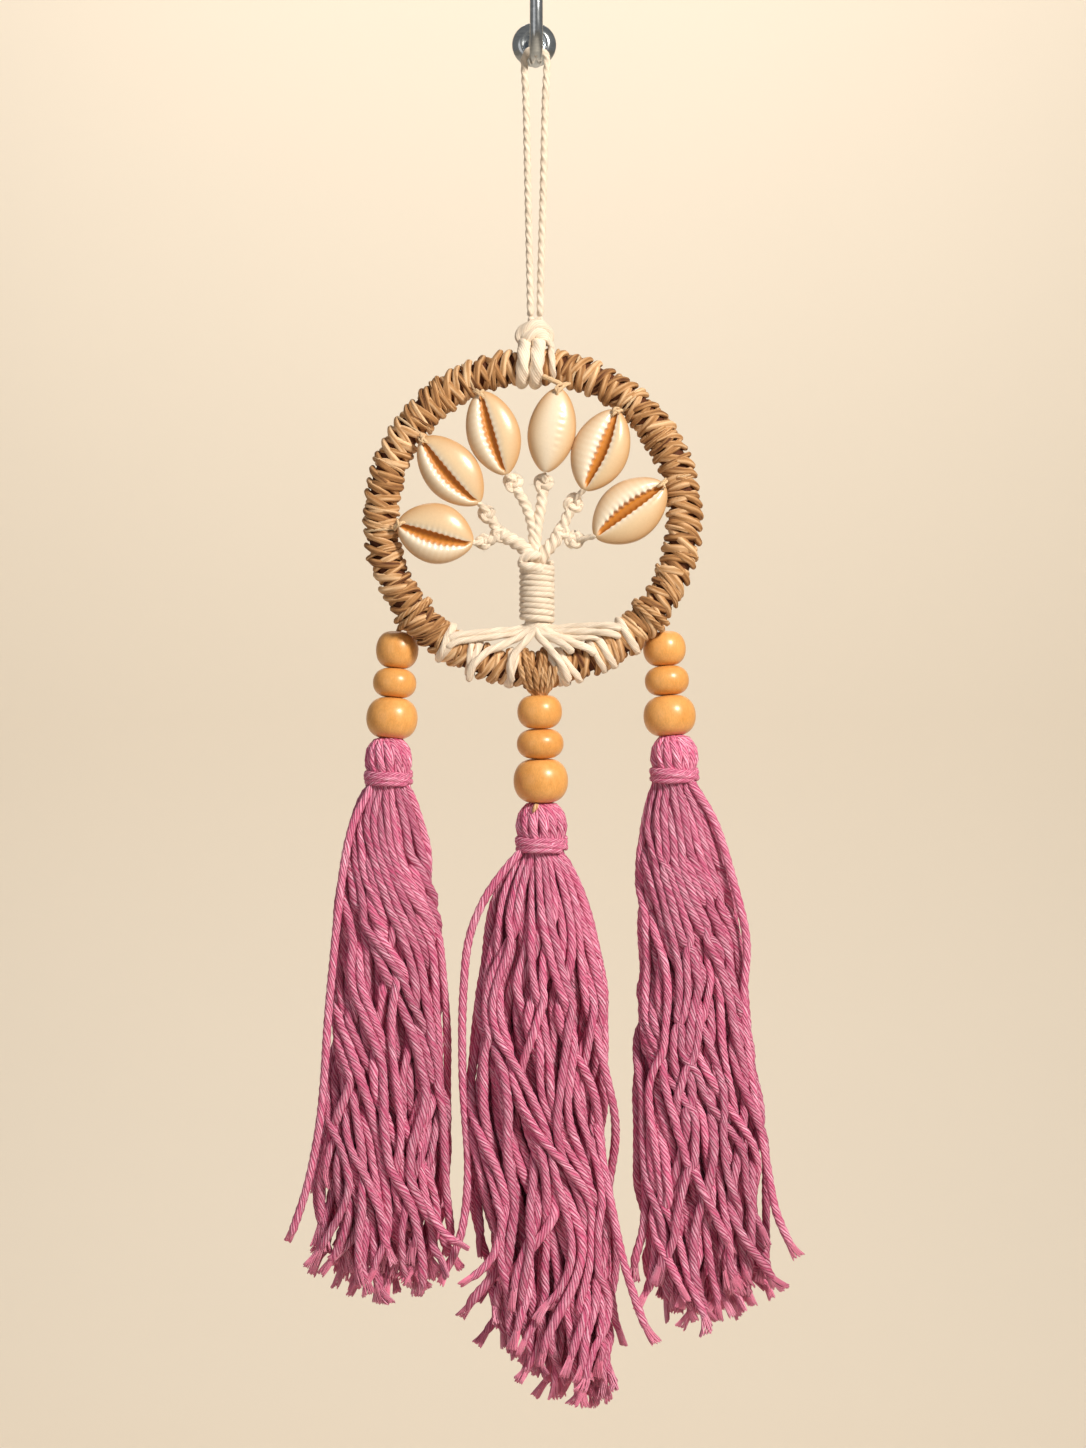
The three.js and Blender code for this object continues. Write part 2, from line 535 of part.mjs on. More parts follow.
// The domed head with its bundles of yarn as flutes, the neck, and the collar that holds the skirt.
function tasselHead(tassel) {
  const { headTop, headFoot, collarTop, collarFoot } = tasselLevels(tassel);
  const half = tassel.width / 2;
  const tall = headTop - headFoot;
  const profile = [
    [0, collarFoot], [COLLAR_RADIUS, collarFoot], [COLLAR_RADIUS, collarTop], [NECK_RADIUS, collarTop],
    [NECK_RADIUS, headFoot], [0.94 * half, headFoot], [half, headFoot + 0.36 * tall],
    [0.92 * half, headFoot + 0.7 * tall], [0.6 * half, headFoot + 0.95 * tall], [0, headTop],
  ];
  const segments = 2 * HEAD_FLUTES;
  const head = moved(lathe(profile, segments), (spot) => {
    const flute = Math.round((Math.atan2(spot.x, -spot.y) / TURN) * segments);
    const out = Math.hypot(spot.x, spot.y);
    const isFluted = out > 0.01 && spot.z > headFoot + 0.1;
    const rise = isFluted ? HEAD_FLUTE_RISE * (flute % 2 === 0 ? 1 : -1) : 0;
    return spot.clone().multiply(new THREE.Vector3(1 + rise / (out + 0.01), 1 + rise / (out + 0.01), 1));
  });
  return head.translate(tassel.x, tassel.y, 0);
}

// The place and thickness of one yarn at a drop below the band.
function yarnAt(tassel, layer, phase, drop) {
  const left = between(tassel.skirt, 'drop', drop, 'left');
  const right = between(tassel.skirt, 'drop', drop, 'right');
  const halfWidth = (right - left) / 2;
  const halfDepth = Math.min(SKIRT_DEPTH_RATIO * halfWidth, SKIRT_DEPTH_LIMIT);
  const opened = THREE.MathUtils.smoothstep(drop, 0, OPEN_DROP);
  const swirled = THREE.MathUtils.smoothstep(drop, OPEN_DROP, SWIRL_DROP);
  const swirl = radians(tassel.swirl) * layer.share * swirled;
  const turn = phase + swirl;
  const reachX = THREE.MathUtils.lerp(layer.root, (halfWidth - YARN_RADIUS) * layer.share, opened);
  const reachY = THREE.MathUtils.lerp(layer.root, (halfDepth - YARN_RADIUS) * layer.share, opened);
  const middle = THREE.MathUtils.lerp(tassel.x, (left + right) / 2, opened);
  const thickness = Math.min(YARN_RADIUS, Math.max(YARN_ROOT, YARN_FILL * (halfDepth - YARN_RADIUS)));
  return { x: middle + reachX * Math.cos(turn), y: tassel.y + reachY * Math.sin(turn), thickness };
}

// A yarn of the skirt: its rings are set at the fractions of its drop, closer where the skirt opens.
function yarnStrand(tassel, layer, layerNumber, index) {
  const { bandFoot, collarFoot } = tasselLevels(tassel);
  const phase = (TURN * (index + 0.5 * layerNumber)) / layer.count;
  const root = bandFoot - collarFoot - YARN_CLEAR;
  const uneven = (spread(index, layerNumber) - 0.5) * tassel.reachSpread;
  const reach = tassel.reach + tassel.reachSlope * Math.cos(phase) + uneven;
  const steps = YARN_FRACTIONS.length - 1;
  return moved(new THREE.CylinderGeometry(1, 1, 1, YARN_SIDES, steps), (spot) => {
    const drop = THREE.MathUtils.lerp(root, reach, YARN_FRACTIONS[Math.round((0.5 - spot.y) * steps)]);
    const { x, y, thickness } = yarnAt(tassel, layer, phase, drop);
    return new THREE.Vector3(x + thickness * spot.x, y - thickness * spot.z, bandFoot - drop);
  });
}

function tassel(row) {
  const strands = YARN_LAYERS.flatMap((layer, layerNumber) => Array.from(
    { length: layer.count },
    (_, index) => yarnStrand(row, layer, layerNumber, index),
  ));
  return piece(`tassel_${row.name}`, united([tasselHead(row), ...strands]), yarn());
}

function tasselBand(row) {
  const { bandTop, bandFoot } = tasselLevels(row);
  const pitch = (bandTop - bandFoot) / BAND_TURNS;
  const crest = row.width / 2 + BAND_PROUD;
  const valley = crest - BAND_GROOVE;
  const profile = [[valley, bandFoot]];
  for (let turn = 0; turn < BAND_TURNS; turn += 1) {
    profile.push([crest, bandFoot + (turn + 0.5) * pitch]);
    profile.push([valley, bandFoot + (turn + 1) * pitch]);
  }
  const bore = (NECK_RADIUS + GAP) / Math.cos(Math.PI / BAND_SEGMENTS);
  profile.push([bore, bandTop], [bore, bandFoot], profile[0]);
  return piece(`tassel_band_${row.name}`, lathe(profile, BAND_SEGMENTS).translate(row.x, row.y, 0), yarn());
}

// The hoop with its tree and shells, in a group whose origin is the hoop's middle
const hoopGroup = new THREE.Group();
hoopGroup.position.set(HOOP_X, HOOP_Y, HOOP_Z);
hoopGroup.add(hoop(), topKnot(), trunkWrap(), treeCords());
SHELLS.forEach((row, i) => hoopGroup.add(shell(i + 1, row), shellTie(i + 1, row)));

const dreamcatcher = new THREE.Group();
dreamcatcher.add(hookPlate(), hookRod(), hangingLoop(), hoopGroup);
COLUMNS.forEach((column) => dreamcatcher.add(beadColumn(column)));
TASSELS.forEach((row) => dreamcatcher.add(tassel(row), tasselBand(row)));

export default dreamcatcher;
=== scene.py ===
"""The looks of a dreamcatcher and of the wall hook that it hangs from.

Tables and sizes here are in millimetres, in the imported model's frame: +Z up, the wall at Y = 0
and the front along -Y. Meshes are made in metres in the same frame.
"""

import json
import logging
import math
from dataclasses import dataclass, field, replace
from enum import Enum
from typing import Any, Callable, Iterable, Mapping, Sequence

import bmesh
import bpy
import numpy as np
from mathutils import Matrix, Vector

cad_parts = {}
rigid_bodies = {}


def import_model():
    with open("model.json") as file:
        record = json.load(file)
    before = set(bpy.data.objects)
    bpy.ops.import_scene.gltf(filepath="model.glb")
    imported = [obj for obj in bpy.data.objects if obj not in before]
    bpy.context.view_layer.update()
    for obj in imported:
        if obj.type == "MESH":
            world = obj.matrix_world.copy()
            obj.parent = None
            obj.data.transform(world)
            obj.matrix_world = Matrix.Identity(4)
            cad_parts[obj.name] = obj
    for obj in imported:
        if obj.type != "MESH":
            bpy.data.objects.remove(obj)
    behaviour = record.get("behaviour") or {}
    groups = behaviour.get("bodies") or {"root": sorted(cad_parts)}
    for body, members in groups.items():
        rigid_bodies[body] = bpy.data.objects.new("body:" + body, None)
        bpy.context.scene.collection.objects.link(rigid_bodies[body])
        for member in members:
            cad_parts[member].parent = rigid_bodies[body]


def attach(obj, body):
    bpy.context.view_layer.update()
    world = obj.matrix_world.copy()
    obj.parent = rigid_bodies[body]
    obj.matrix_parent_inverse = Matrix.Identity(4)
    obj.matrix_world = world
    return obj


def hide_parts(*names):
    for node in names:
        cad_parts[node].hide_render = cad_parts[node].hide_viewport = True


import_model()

Colour = tuple[float, float, float]
Place = tuple[float, float, float]
Route = tuple[Place, ...]

# A turn round the hoop: its angle and its lean in degrees, and its strand's radius
Turn = tuple[float, float, float]

Points = np.ndarray

log = logging.getLogger("dreamcatcher")

MM = 0.001
TURN = 2.0 * math.pi
GOLDEN_ANGLE = 2.399963
FRONT = np.array((0.0, -1.0, 0.0))
BACK = np.array((0.0, 1.0, 0.0))
BODY = "root"

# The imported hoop: its middle, its ring's middle line, and how far its tube reaches round that
HOOP_MIDDLE = np.array((-0.4, -18.0, -142.6))
HOOP_RADIUS = 44.6
TUBE_REACH = 5.45
GAP = 0.3


class Slot(Enum):
    """The record's material slots."""

    STEEL = "steel"
    COTTON = "cotton"
    RAFFIA = "raffia"
    SHELL = "shell"
    WOOD = "wood"
    YARN = "yarn"


# Numbers and curves


def smoothstep(value: Any, low: float, high: float) -> Any:
    """The soft step from 0 at low to 1 at high.

    Args:
        value: A number or an array.
        low: Where the step starts.
        high: Where the step ends.

    Returns:
        The step's height at each value.
    """
    share = np.clip((np.asarray(value, dtype=float) - low) / (high - low), 0.0, 1.0)
    return share * share * (3.0 - 2.0 * share)


def places_along(points: Points) -> Points:
    """How far along a line each of its points is."""
    return np.concatenate(([0.0], np.cumsum(np.linalg.norm(np.diff(points, axis=0), axis=1))))


def between(at: Points, start: float, end: float, first: Points, second: Points) -> Points:
    """The points on the way from first, at start, to second, at end."""
    return (end - at) / (end - start) * first + (at - start) / (end - start) * second


def flowing(route: Sequence[Place] | Points, spacing: float = 0.8) -> Points:
    """A smooth curve through a route's points.

    Args:
        route: The points that the curve passes through.
        spacing: The distance between the points given back.

    Returns:
        Evenly spaced points of the curve, with both ends kept.
    """
    steps = 24
    knots = np.asarray(route, dtype=float)
    padded = np.vstack((2 * knots[0] - knots[1], knots, 2 * knots[-1] - knots[-2]))
    times = np.concatenate(([0.0], np.cumsum(np.linalg.norm(np.diff(padded, axis=0), axis=1) ** 0.5)))
    dense = []
    for i in range(1, len(padded) - 2):
        t0, t1, t2, t3 = times[i - 1 : i + 3]
        p0, p1, p2, p3 = padded[i - 1 : i + 3]
        t = np.linspace(t1, t2, steps, endpoint=False)[:, None]
        a1 = between(t, t0, t1, p0, p1)
        a2 = between(t, t1, t2, p1, p2)
        a3 = between(t, t2, t3, p2, p3)
        b1 = between(t, t0, t2, a1, a2)
        b2 = between(t, t1, t3, a2, a3)
        dense.append(between(t, t1, t2, b1, b2))
    dense.append(knots[-1:])
    return evenly(np.vstack(dense), spacing)


def evenly(points: Points, spacing: float) -> Points:
    """Points set evenly along a line.

    Args:
        points: The line's own points.
        spacing: The distance wanted between points.

    Returns:
        At least two points, with both ends kept.
    """
    along = places_along(points)
    count = max(2, round(along[-1] / spacing) + 1)
    places = np.linspace(0.0, along[-1], count)
    return np.column_stack([np.interp(places, along, points[:, axis]) for axis in range(points.shape[1])])


def in_hoop(x: float, y: float, z: float) -> Points:
    """A place given from the hoop's middle, as a place in the model."""
    return HOOP_MIDDLE + np.array((x, y, z))


def hoop_line(spots: Iterable[Sequence[float]], spacing: float = 0.8) -> Points:
    """A smooth curve through places given from the hoop's middle."""
    return flowing([in_hoop(*spot) for spot in spots], spacing)


# Materials


class Network:
    """A node tree with one method that adds any node."""

    def __init__(self, tree: bpy.types.NodeTree) -> None:
        """Takes the tree that nodes are added to."""
        self.tree = tree

    def add(
        self,
        kind: str,
        settings: Mapping[str, Any] | None = None,
        inputs: Mapping[int | str, Any] | None = None,
    ) -> bpy.types.Node:
        """Adds a node.

        Args:
            kind: The node's type.
            settings: Its own settings, set first; stops are a ramp's places and colours.
            inputs: The value or link of each socket, by name or number.

        Returns:
            The new node.
        """
        node = self.tree.nodes.new(kind)
        for key, value in (settings or {}).items():
            if key == "stops":
                ramp = node.color_ramp
                while len(ramp.elements) < len(value):
                    ramp.elements.new(0.5)
                for element, (place, colour) in zip(ramp.elements, value):
                    element.position = place
                    element.color = (*colour, 1.0)
            else:
                setattr(node, key, value)
        for key, value in (inputs or {}).items():
            socket = node.inputs[key]
            if isinstance(value, Number):
                value = value.socket
            if isinstance(value, bpy.types.NodeSocket):
                self.tree.links.new(value, socket)
            else:
                socket.default_value = value
        return node

    def number(self, node: bpy.types.Node, output: int | str = 0) -> "Number":
        """A node's output, ready for sums."""
        return Number(self, node.outputs[output])


class Number:
    """A number socket. Sums written with it add Math nodes."""

    def __init__(self, network: Network, socket: bpy.types.NodeSocket) -> None:
        """Takes the socket and the network that it belongs to."""
        self.network = network
        self.socket = socket

    def _sum(self, operation: str, *values: Any) -> "Number":
        """Adds one Math node and gives its result."""
        node = self.network.add("ShaderNodeMath", {"operation": operation}, dict(enumerate(values)))
        return self.network.number(node)

    def __add__(self, other: Any) -> "Number":
        """Sum."""
        return self._sum("ADD", self, other)

    __radd__ = __add__

    def __mul__(self, other: Any) -> "Number":
        """Product."""
        return self._sum("MULTIPLY", self, other)

    __rmul__ = __mul__

    def __sub__(self, other: Any) -> "Number":
        """Difference."""
        return self._sum("SUBTRACT", self, other)

    def __rsub__(self, other: Any) -> "Number":
        """Difference, from a plain number."""
        return self._sum("SUBTRACT", other, self)

    def __pow__(self, other: Any) -> "Number":
        """Power."""
        return self._sum("POWER", self, other)

    def fraction(self) -> "Number":
        """The part after the point."""
        return self._sum("FRACT", self)

    def sine(self) -> "Number":
        """The sine."""
        return self._sum("SINE", self)

    def cosine(self) -> "Number":
        """The cosine."""
        return self._sum("COSINE", self)

    def held(self) -> "Number":
        """The value kept between 0 and 1."""
        return self._sum("MINIMUM", self._sum("MAXIMUM", self, 0.0), 1.0)


class Shading(Network):
    """A material under construction."""

    def __init__(self, name: str) -> None:
        """Makes an empty material.

        Args:
            name: The material's name.
        """
        self.material = bpy.data.materials.new(name)
        self.material.use_nodes = True
        self.material.node_tree.nodes.clear()
        super().__init__(self.material.node_tree)

    def attribute(self, name: str) -> Number:
        """A number that the mesh carries at each point."""
        node = self.add("ShaderNodeAttribute", {"attribute_name": name})
        return self.number(node, "Fac")

    def strand_place(self) -> tuple[Number, Number]:
        """Where a point is on its strand.

        Returns:
            The share of the way round the strand, and the metres along it.
        """
        place = self.add("ShaderNodeUVMap", {"uv_map": "strand"})
        split = self.add("ShaderNodeSeparateXYZ", {}, {0: place.outputs[0]})
        return self.number(split, 0), self.number(split, 1)

    def noise(self, vector: Any, scale: float, detail: float = 2.0, roughness: float = 0.5) -> Number:
        """Soft noise, 0.5 on average, with its waves a unit and its finer layers and their weight."""
        inputs = {"Vector": vector, "Scale": scale, "Detail": detail, "Roughness": roughness}
        return self.number(self.add("ShaderNodeTexNoise", {}, inputs), "Fac")

    def vector(self, x: Any, y: Any, z: Any) -> bpy.types.NodeSocket:
        """Three numbers as a vector."""
        return self.add("ShaderNodeCombineXYZ", {}, {0: x, 1: y, 2: z}).outputs[0]

    def stretched(self, vector: Any, scale: Place) -> bpy.types.NodeSocket:
        """A vector with each of its axes scaled."""
        node = self.add("ShaderNodeVectorMath", {"operation": "MULTIPLY"}, {0: vector, 1: scale})
        return node.outputs[0]

    def mix(self, factor: Any, first: Any, second: Any, blend: str = "MIX") -> bpy.types.NodeSocket:
        """Mixes two colours.

        Args:
            factor: The second colour's share.
            first: A colour or a colour socket.
            second: A colour or a colour socket.
            blend: How they are mixed.

        Returns:
            The mixed colour.
        """
        wide = [(*c, 1.0) if isinstance(c, tuple) and len(c) == 3 else c for c in (first, second)]
        settings = {"data_type": "RGBA", "blend_type": blend, "clamp_factor": True}
        node = self.add("ShaderNodeMix", settings, {0: factor, 6: wide[0], 7: wide[1]})
        return node.outputs[2]

    def shaded(self, colour: Any, brightness: Number) -> bpy.types.NodeSocket:
        """A colour made lighter or darker by a number that is 1 on average."""
        grey = self.vector(brightness, brightness, brightness)
        return self.mix(1.0, colour, grey, "MULTIPLY")

    def bump(self, height: Number, distance: float, normal: Any = None) -> bpy.types.NodeSocket:
        """A raised pattern.

        Args:
            height: The pattern, from 0 to 1.
            distance: How high 1 is, in metres.
            normal: A pattern that it lies on.

        Returns:
            The surface's direction.
        """
        inputs = {"Strength": 1.0, "Distance": distance, "Height": height}
        if normal is not None:
            inputs["Normal"] = normal
        return self.add("ShaderNodeBump", {}, inputs).outputs[0]

    def finished(self, **inputs: Any) -> bpy.types.Material:
        """Ends the material in one Principled shader.

        Args:
            inputs: The shader's inputs, with _ for each space in a name.

        Returns:
            The material.
        """
        named = {key.replace("_", " "): value for key, value in inputs.items()}
        for key, value in named.items():
            if isinstance(value, tuple) and len(value) == 3:
                named[key] = (*value, 1.0)
        shader = self.add("ShaderNodeBsdfPrincipled", {}, named)
        self.add("ShaderNodeOutputMaterial", {}, {"Surface": shader.outputs[0]})
        return self.material


@dataclass(frozen=True)
class StrandFinish:
    """Spun fibre: threads that turn round a strand, with fibres along them.

    Each strand's tone also moves its noises along, so that no two strands are alike. The grooves
    between threads carry painted shade, and their crests a painted highlight.
    """

    name: str
    # Painted highlight colour on the thread crests, and the sheen's tint.
    light: Colour
    middle: Colour
    # Painted shade colour in the grooves between threads.
    dark: Colour
    threads: int
    thread_height: float
    fibre_height: float
    # Strength of the painted shade in the grooves.
    groove_shade_strength: float = 1.0
    sheen: float = 0.25
    looseness: float = 0.10
    # Width of the painted shade in the grooves.
    groove_shade_width: float = 0.6
    # Patchiness of the painted highlight on the crests.
    streaks: float = 2.0
    gloss: float = 0.15
    roughness: float = 0.92
    # Sharpness of the painted highlight on the crests.
    highlight_peak: float = 1.0

    def make(self) -> bpy.types.Material:
        """Builds the finish.

        Returns:
            The new material.
        """
        shading = Shading(self.name)
        around, along = shading.strand_place()
        tone = shading.attribute("tone")
        x, y = (around * TURN).cosine(), (around * TURN).sine()
        slow = shading.vector(x * 0.8, y * 0.8, along * 190.0 + tone * 23.0)
        fine = shading.vector(x * 13.0, y * 13.0, along * 620.0 + tone * 37.0)
        broad = shading.vector(x * 1.2, y * 1.2, along * 70.0 + tone * 61.0)
        loose = shading.noise(slow, 1.0, 2.0)
        across = ((around + (loose - 0.5) * self.looseness) * self.threads).fraction() * 2.0 - 1.0
        thread = 1.0 - across * across
        fibre = shading.noise(fine, 1.0, 3.0, 0.6)
        patch = shading.noise(broad, 1.0, 2.0)
        # Painted shade: darker towards the dark colour in the grooves between threads, more in some patches.
        depth = (patch * 2.4 - 0.7).held() * self.groove_shade_strength
        colour = shading.mix((thread ** self.groove_shade_width) * depth + (1.0 - depth), self.dark, self.middle)
        # Painted highlight: lighter towards the light colour along the threads' crests, in fibre streaks.
        streak = (fibre + patch * 0.9 - 0.95) * self.streaks + 0.42
        colour = shading.mix((thread * streak).held() ** self.highlight_peak, colour, self.light)
        colour = shading.shaded(colour, (patch - 0.5) * 0.5 + (tone - 0.5) * 0.4 + 1.0)
        normal = shading.bump(thread, self.thread_height)
        normal = shading.bump(fibre, self.fibre_height, normal)
        return shading.finished(
            Base_Color=colour,
            Roughness=self.roughness,
            Specular_IOR_Level=self.gloss,
            Sheen_Weight=self.sheen,
            Sheen_Roughness=0.5,
            Sheen_Tint=self.light,
            Normal=normal,
        )


@dataclass(frozen=True)
class RaffiaFinish:
    """Creased paper ribbon, with a painted highlight on its ridges."""

    name: str = "raffia"
    light: Colour = (0.95, 0.66, 0.40)
    middle: Colour = (0.48, 0.24, 0.09)
    # Dark stop: dark fibres, and the painted shade of the core under the ribbons.
    dark: Colour = (0.10, 0.026, 0.006)
    creases: int = 4
    crease_height: float = 0.00012
    fibre_height: float = 0.00015

    def make(self) -> bpy.types.Material:
        """Builds the finish.

        Returns:
            The new material.
        """
        shading = Shading(self.name)
        around, along = shading.strand_place()
        tone = shading.attribute("tone")
        ridge = (around * (TURN * self.creases) + tone * 40.0).cosine() * 0.5 + 0.5
        fibre = shading.noise(shading.vector(around * 60.0, along * 260.0, tone * 43.0), 1.0, 3.0, 0.65)
        patch = shading.noise(shading.vector(around * 3.0, along * 120.0, tone * 77.0), 1.0, 2.0)
        # Painted highlight on the crease ridges, plus fibre, patch and tone; a very low tone gives painted
        # shade.
        ridge_light_and_tone = (ridge * 0.24 + fibre * 0.66 + (patch - 0.5) * 0.8 + (tone - 0.5) * 0.45 + 0.06).held()
        settings = {"stops": ((0.12, self.dark), (0.48, self.middle), (0.92, self.light))}
        ramp = shading.add("ShaderNodeValToRGB", settings, {0: ridge_light_and_tone})
        normal = shading.bump(ridge, self.crease_height)
        normal = shading.bump(fibre, self.fibre_height, normal)
        return shading.finished(
            Base_Color=ramp.outputs[0],
            Roughness=0.62 + (1.0 - fibre) * 0.3,
            Specular_IOR_Level=0.4,
            Normal=normal,
        )


@dataclass(frozen=True)
class ShellFinish:
    """Glossy shell: cream, peach at its sides, white on the lips and brown inside the slit."""

    name: str = "cowrie shell"
    cream: Colour = (0.78, 0.60, 0.385)
    # Peach grows towards the shell's sides and tips: partly its own colour, partly painted shade.
    peach: Colour = (0.60, 0.335, 0.145)
    white: Colour = (0.90, 0.82, 0.70)
    # The slit's floor: amber, turning deep brown towards one lip, where the deepest brown is partly painted
    # shade.
    inside: Colour = (0.60, 0.225, 0.022)
    deep: Colour = (0.28, 0.075, 0.005)
    clouds: float = 160.0
    specks: float = 1500.0
    speck_height: float = 0.00002

    def make(self) -> bpy.types.Material:
        """Builds the finish.

        Returns:
            The new material.
        """
        shading = Shading(self.name)
        lip = shading.attribute("lip")
        side = shading.attribute("side")
        slit = shading.attribute("slit")
        place = shading.add("ShaderNodeTexCoord").outputs["Object"]
        cloud = shading.noise(place, self.clouds, 3.0)
        speck = shading.noise(place, self.specks, 2.0)
        # Peach towards the sides and tips, partly painted shade.
        colour = shading.mix((side * 0.9 + (cloud - 0.5) * 0.5).held(), self.cream, self.peach)
        colour = shading.mix((lip + (cloud - 0.5) * 0.3).held(), colour, self.white)
        # Amber in the slit, then deep brown towards one lip, partly painted shade.
        colour = shading.mix((slit * 2.0).held(), colour, self.inside)
        colour = shading.mix((slit * 2.0 - 1.0).held(), colour, self.deep)
        colour = shading.shaded(colour, (speck - 0.5) * 0.10 + 1.0)
        return shading.finished(
            Base_Color=colour,
            Roughness=(0.32 + (cloud - 0.5) * 0.16 + slit * 0.3).held(),
            Specular_IOR_Level=0.5,
            Coat_Weight=(1.0 - slit * 1.6).held() * 0.3,
            Coat_Roughness=0.17,
            Normal=shading.bump(speck, self.speck_height),
        )


@dataclass(frozen=True)
class WoodFinish:
    """Varnished pale wood with its grain along each bead's cord.

    Each pattern is given by its waves a metre on each axis.
    """

    name: str = "varnished wood"
    light: Colour = (0.90, 0.48, 0.155)
    dark: Colour = (0.66, 0.28, 0.06)
    streaks: Place = (800.0, 800.0, 260.0)
    pores: Place = (3000.0, 3000.0, 1200.0)
    clouds: Place = (120.0, 120.0, 60.0)
    grain_height: float = 0.00003

    def make(self) -> bpy.types.Material:
        """Builds the finish.

        Returns:
            The new material.
        """
        shading = Shading(self.name)
        grain = shading.add("ShaderNodeAttribute", {"attribute_name": "grain"}).outputs["Vector"]
        streak = shading.noise(shading.stretched(grain, self.streaks), 1.0, 4.0, 0.65)
        pore = shading.noise(shading.stretched(grain, self.pores), 1.0, 2.0, 0.6)
        cloud = shading.noise(shading.stretched(grain, self.clouds), 1.0, 2.0)
        share = (streak * 0.9 + (cloud - 0.5) * 0.9).held()
        colour = shading.mix(share, self.dark, self.light)
        colour = shading.shaded(colour, (pore - 0.5) * 0.45 + 1.0)
        return shading.finished(
            Base_Color=colour,
            Roughness=(0.36 + (streak - 0.5) * 0.2).held(),
            Specular_IOR_Level=0.5,
            Coat_Weight=0.3,
            Coat_Roughness=0.22,
            Normal=shading.bump(streak * 0.7 + pore * 0.3, self.grain_height),
        )


@dataclass(frozen=True)
class SteelFinish:
    """Bright steel with faint marks."""

    name: str = "polished steel"
    bright: Colour = (0.66, 0.70, 0.74)
    dull: Colour = (0.33, 0.37, 0.41)
    marks: float = 420.0
    scratches: Place = (2600.0, 2600.0, 260.0)
    scratch_height: float = 0.00001

    def make(self) -> bpy.types.Material:
        """Builds the finish.

        Returns:
            The new material.
        """
        shading = Shading(self.name)
        place = shading.add("ShaderNodeTexCoord").outputs["Object"]
        mark = shading.noise(shading.stretched(place, (1.0, 1.0, 3.0)), self.marks, 4.0, 0.6)
        scratch = shading.noise(shading.stretched(place, self.scratches), 1.0, 2.0)
        return shading.finished(
            Base_Color=shading.mix((mark * 1.6 - 0.3).held(), self.bright, self.dull),
            Metallic=1.0,
            Roughness=(0.13 + mark * 0.14 + (scratch - 0.5) * 0.1).held(),
            Normal=shading.bump(scratch, self.scratch_height),
        )


@dataclass(frozen=True)
class StageFinish:
    """The plain pale paper of floor and backdrop."""

    name: str = "pale paper"
    colour: Colour = (0.84, 0.76, 0.65)

    def make(self) -> bpy.types.Material:
        """Builds the finish.

        Returns:
            The new material.
        """
        shading = Shading(self.name)
        place = shading.add("ShaderNodeTexCoord").outputs["Object"]
        cloud = shading.noise(place, 3.0, 2.0)
        colour = shading.shaded(self.colour, (cloud - 0.5) * 0.02 + 1.0)
        return shading.finished(Base_Color=colour, Roughness=0.95, Specular_IOR_Level=0.1)


# In each strand finish, light is the painted highlight colour and dark the painted shade colour.
YARN = StrandFinish(
    name="mauve yarn",
    light=(0.98, 0.68, 0.85),
    middle=(0.69, 0.096, 0.25),
    dark=(0.25, 0.003, 0.024),
    threads=8,
    thread_height=0.0003,
    fibre_height=0.00012,
    groove_shade_strength=0.64,
    sheen=0.02,
    looseness=0.20,
    groove_shade_width=0.65,
    streaks=1.5,
    gloss=0.2,
    roughness=0.7,
    highlight_peak=1.15,
)
YARN_THREADS = replace(
    YARN,
    name="mauve yarn threads",
    middle=(0.76, 0.18, 0.33),
    threads=2,
    thread_height=0.00005,
    groove_shade_strength=0.4,
)
COTTON = StrandFinish(
    name="cream cotton",
    light=(0.98, 0.90, 0.785),
    middle=(0.90, 0.755, 0.61),
    dark=(0.52, 0.30, 0.165),
    threads=15,
    thread_height=0.00009,
    fibre_height=0.00012,
    groove_shade_strength=0.55,
)
JUTE = StrandFinish(
    name="tan thread",
    light=(0.90, 0.70, 0.47),
    middle=(0.78, 0.54, 0.32),
    dark=(0.42, 0.22, 0.09),
    threads=6,
    thread_height=0.00008,
    fibre_height=0.00010,
    groove_shade_strength=0.5,
)


# Strands


def in_scene(name: str, data: bpy.types.ID) -> bpy.types.Object:
    """A new object of the scene, made of its data.

    Args:
        name: The object's name.
        data: Its mesh, camera or light.

    Returns:
        The object, at the origin.
    """
    thing = bpy.data.objects.new(name, data)
    bpy.context.scene.collection.objects.link(thing)
    return thing


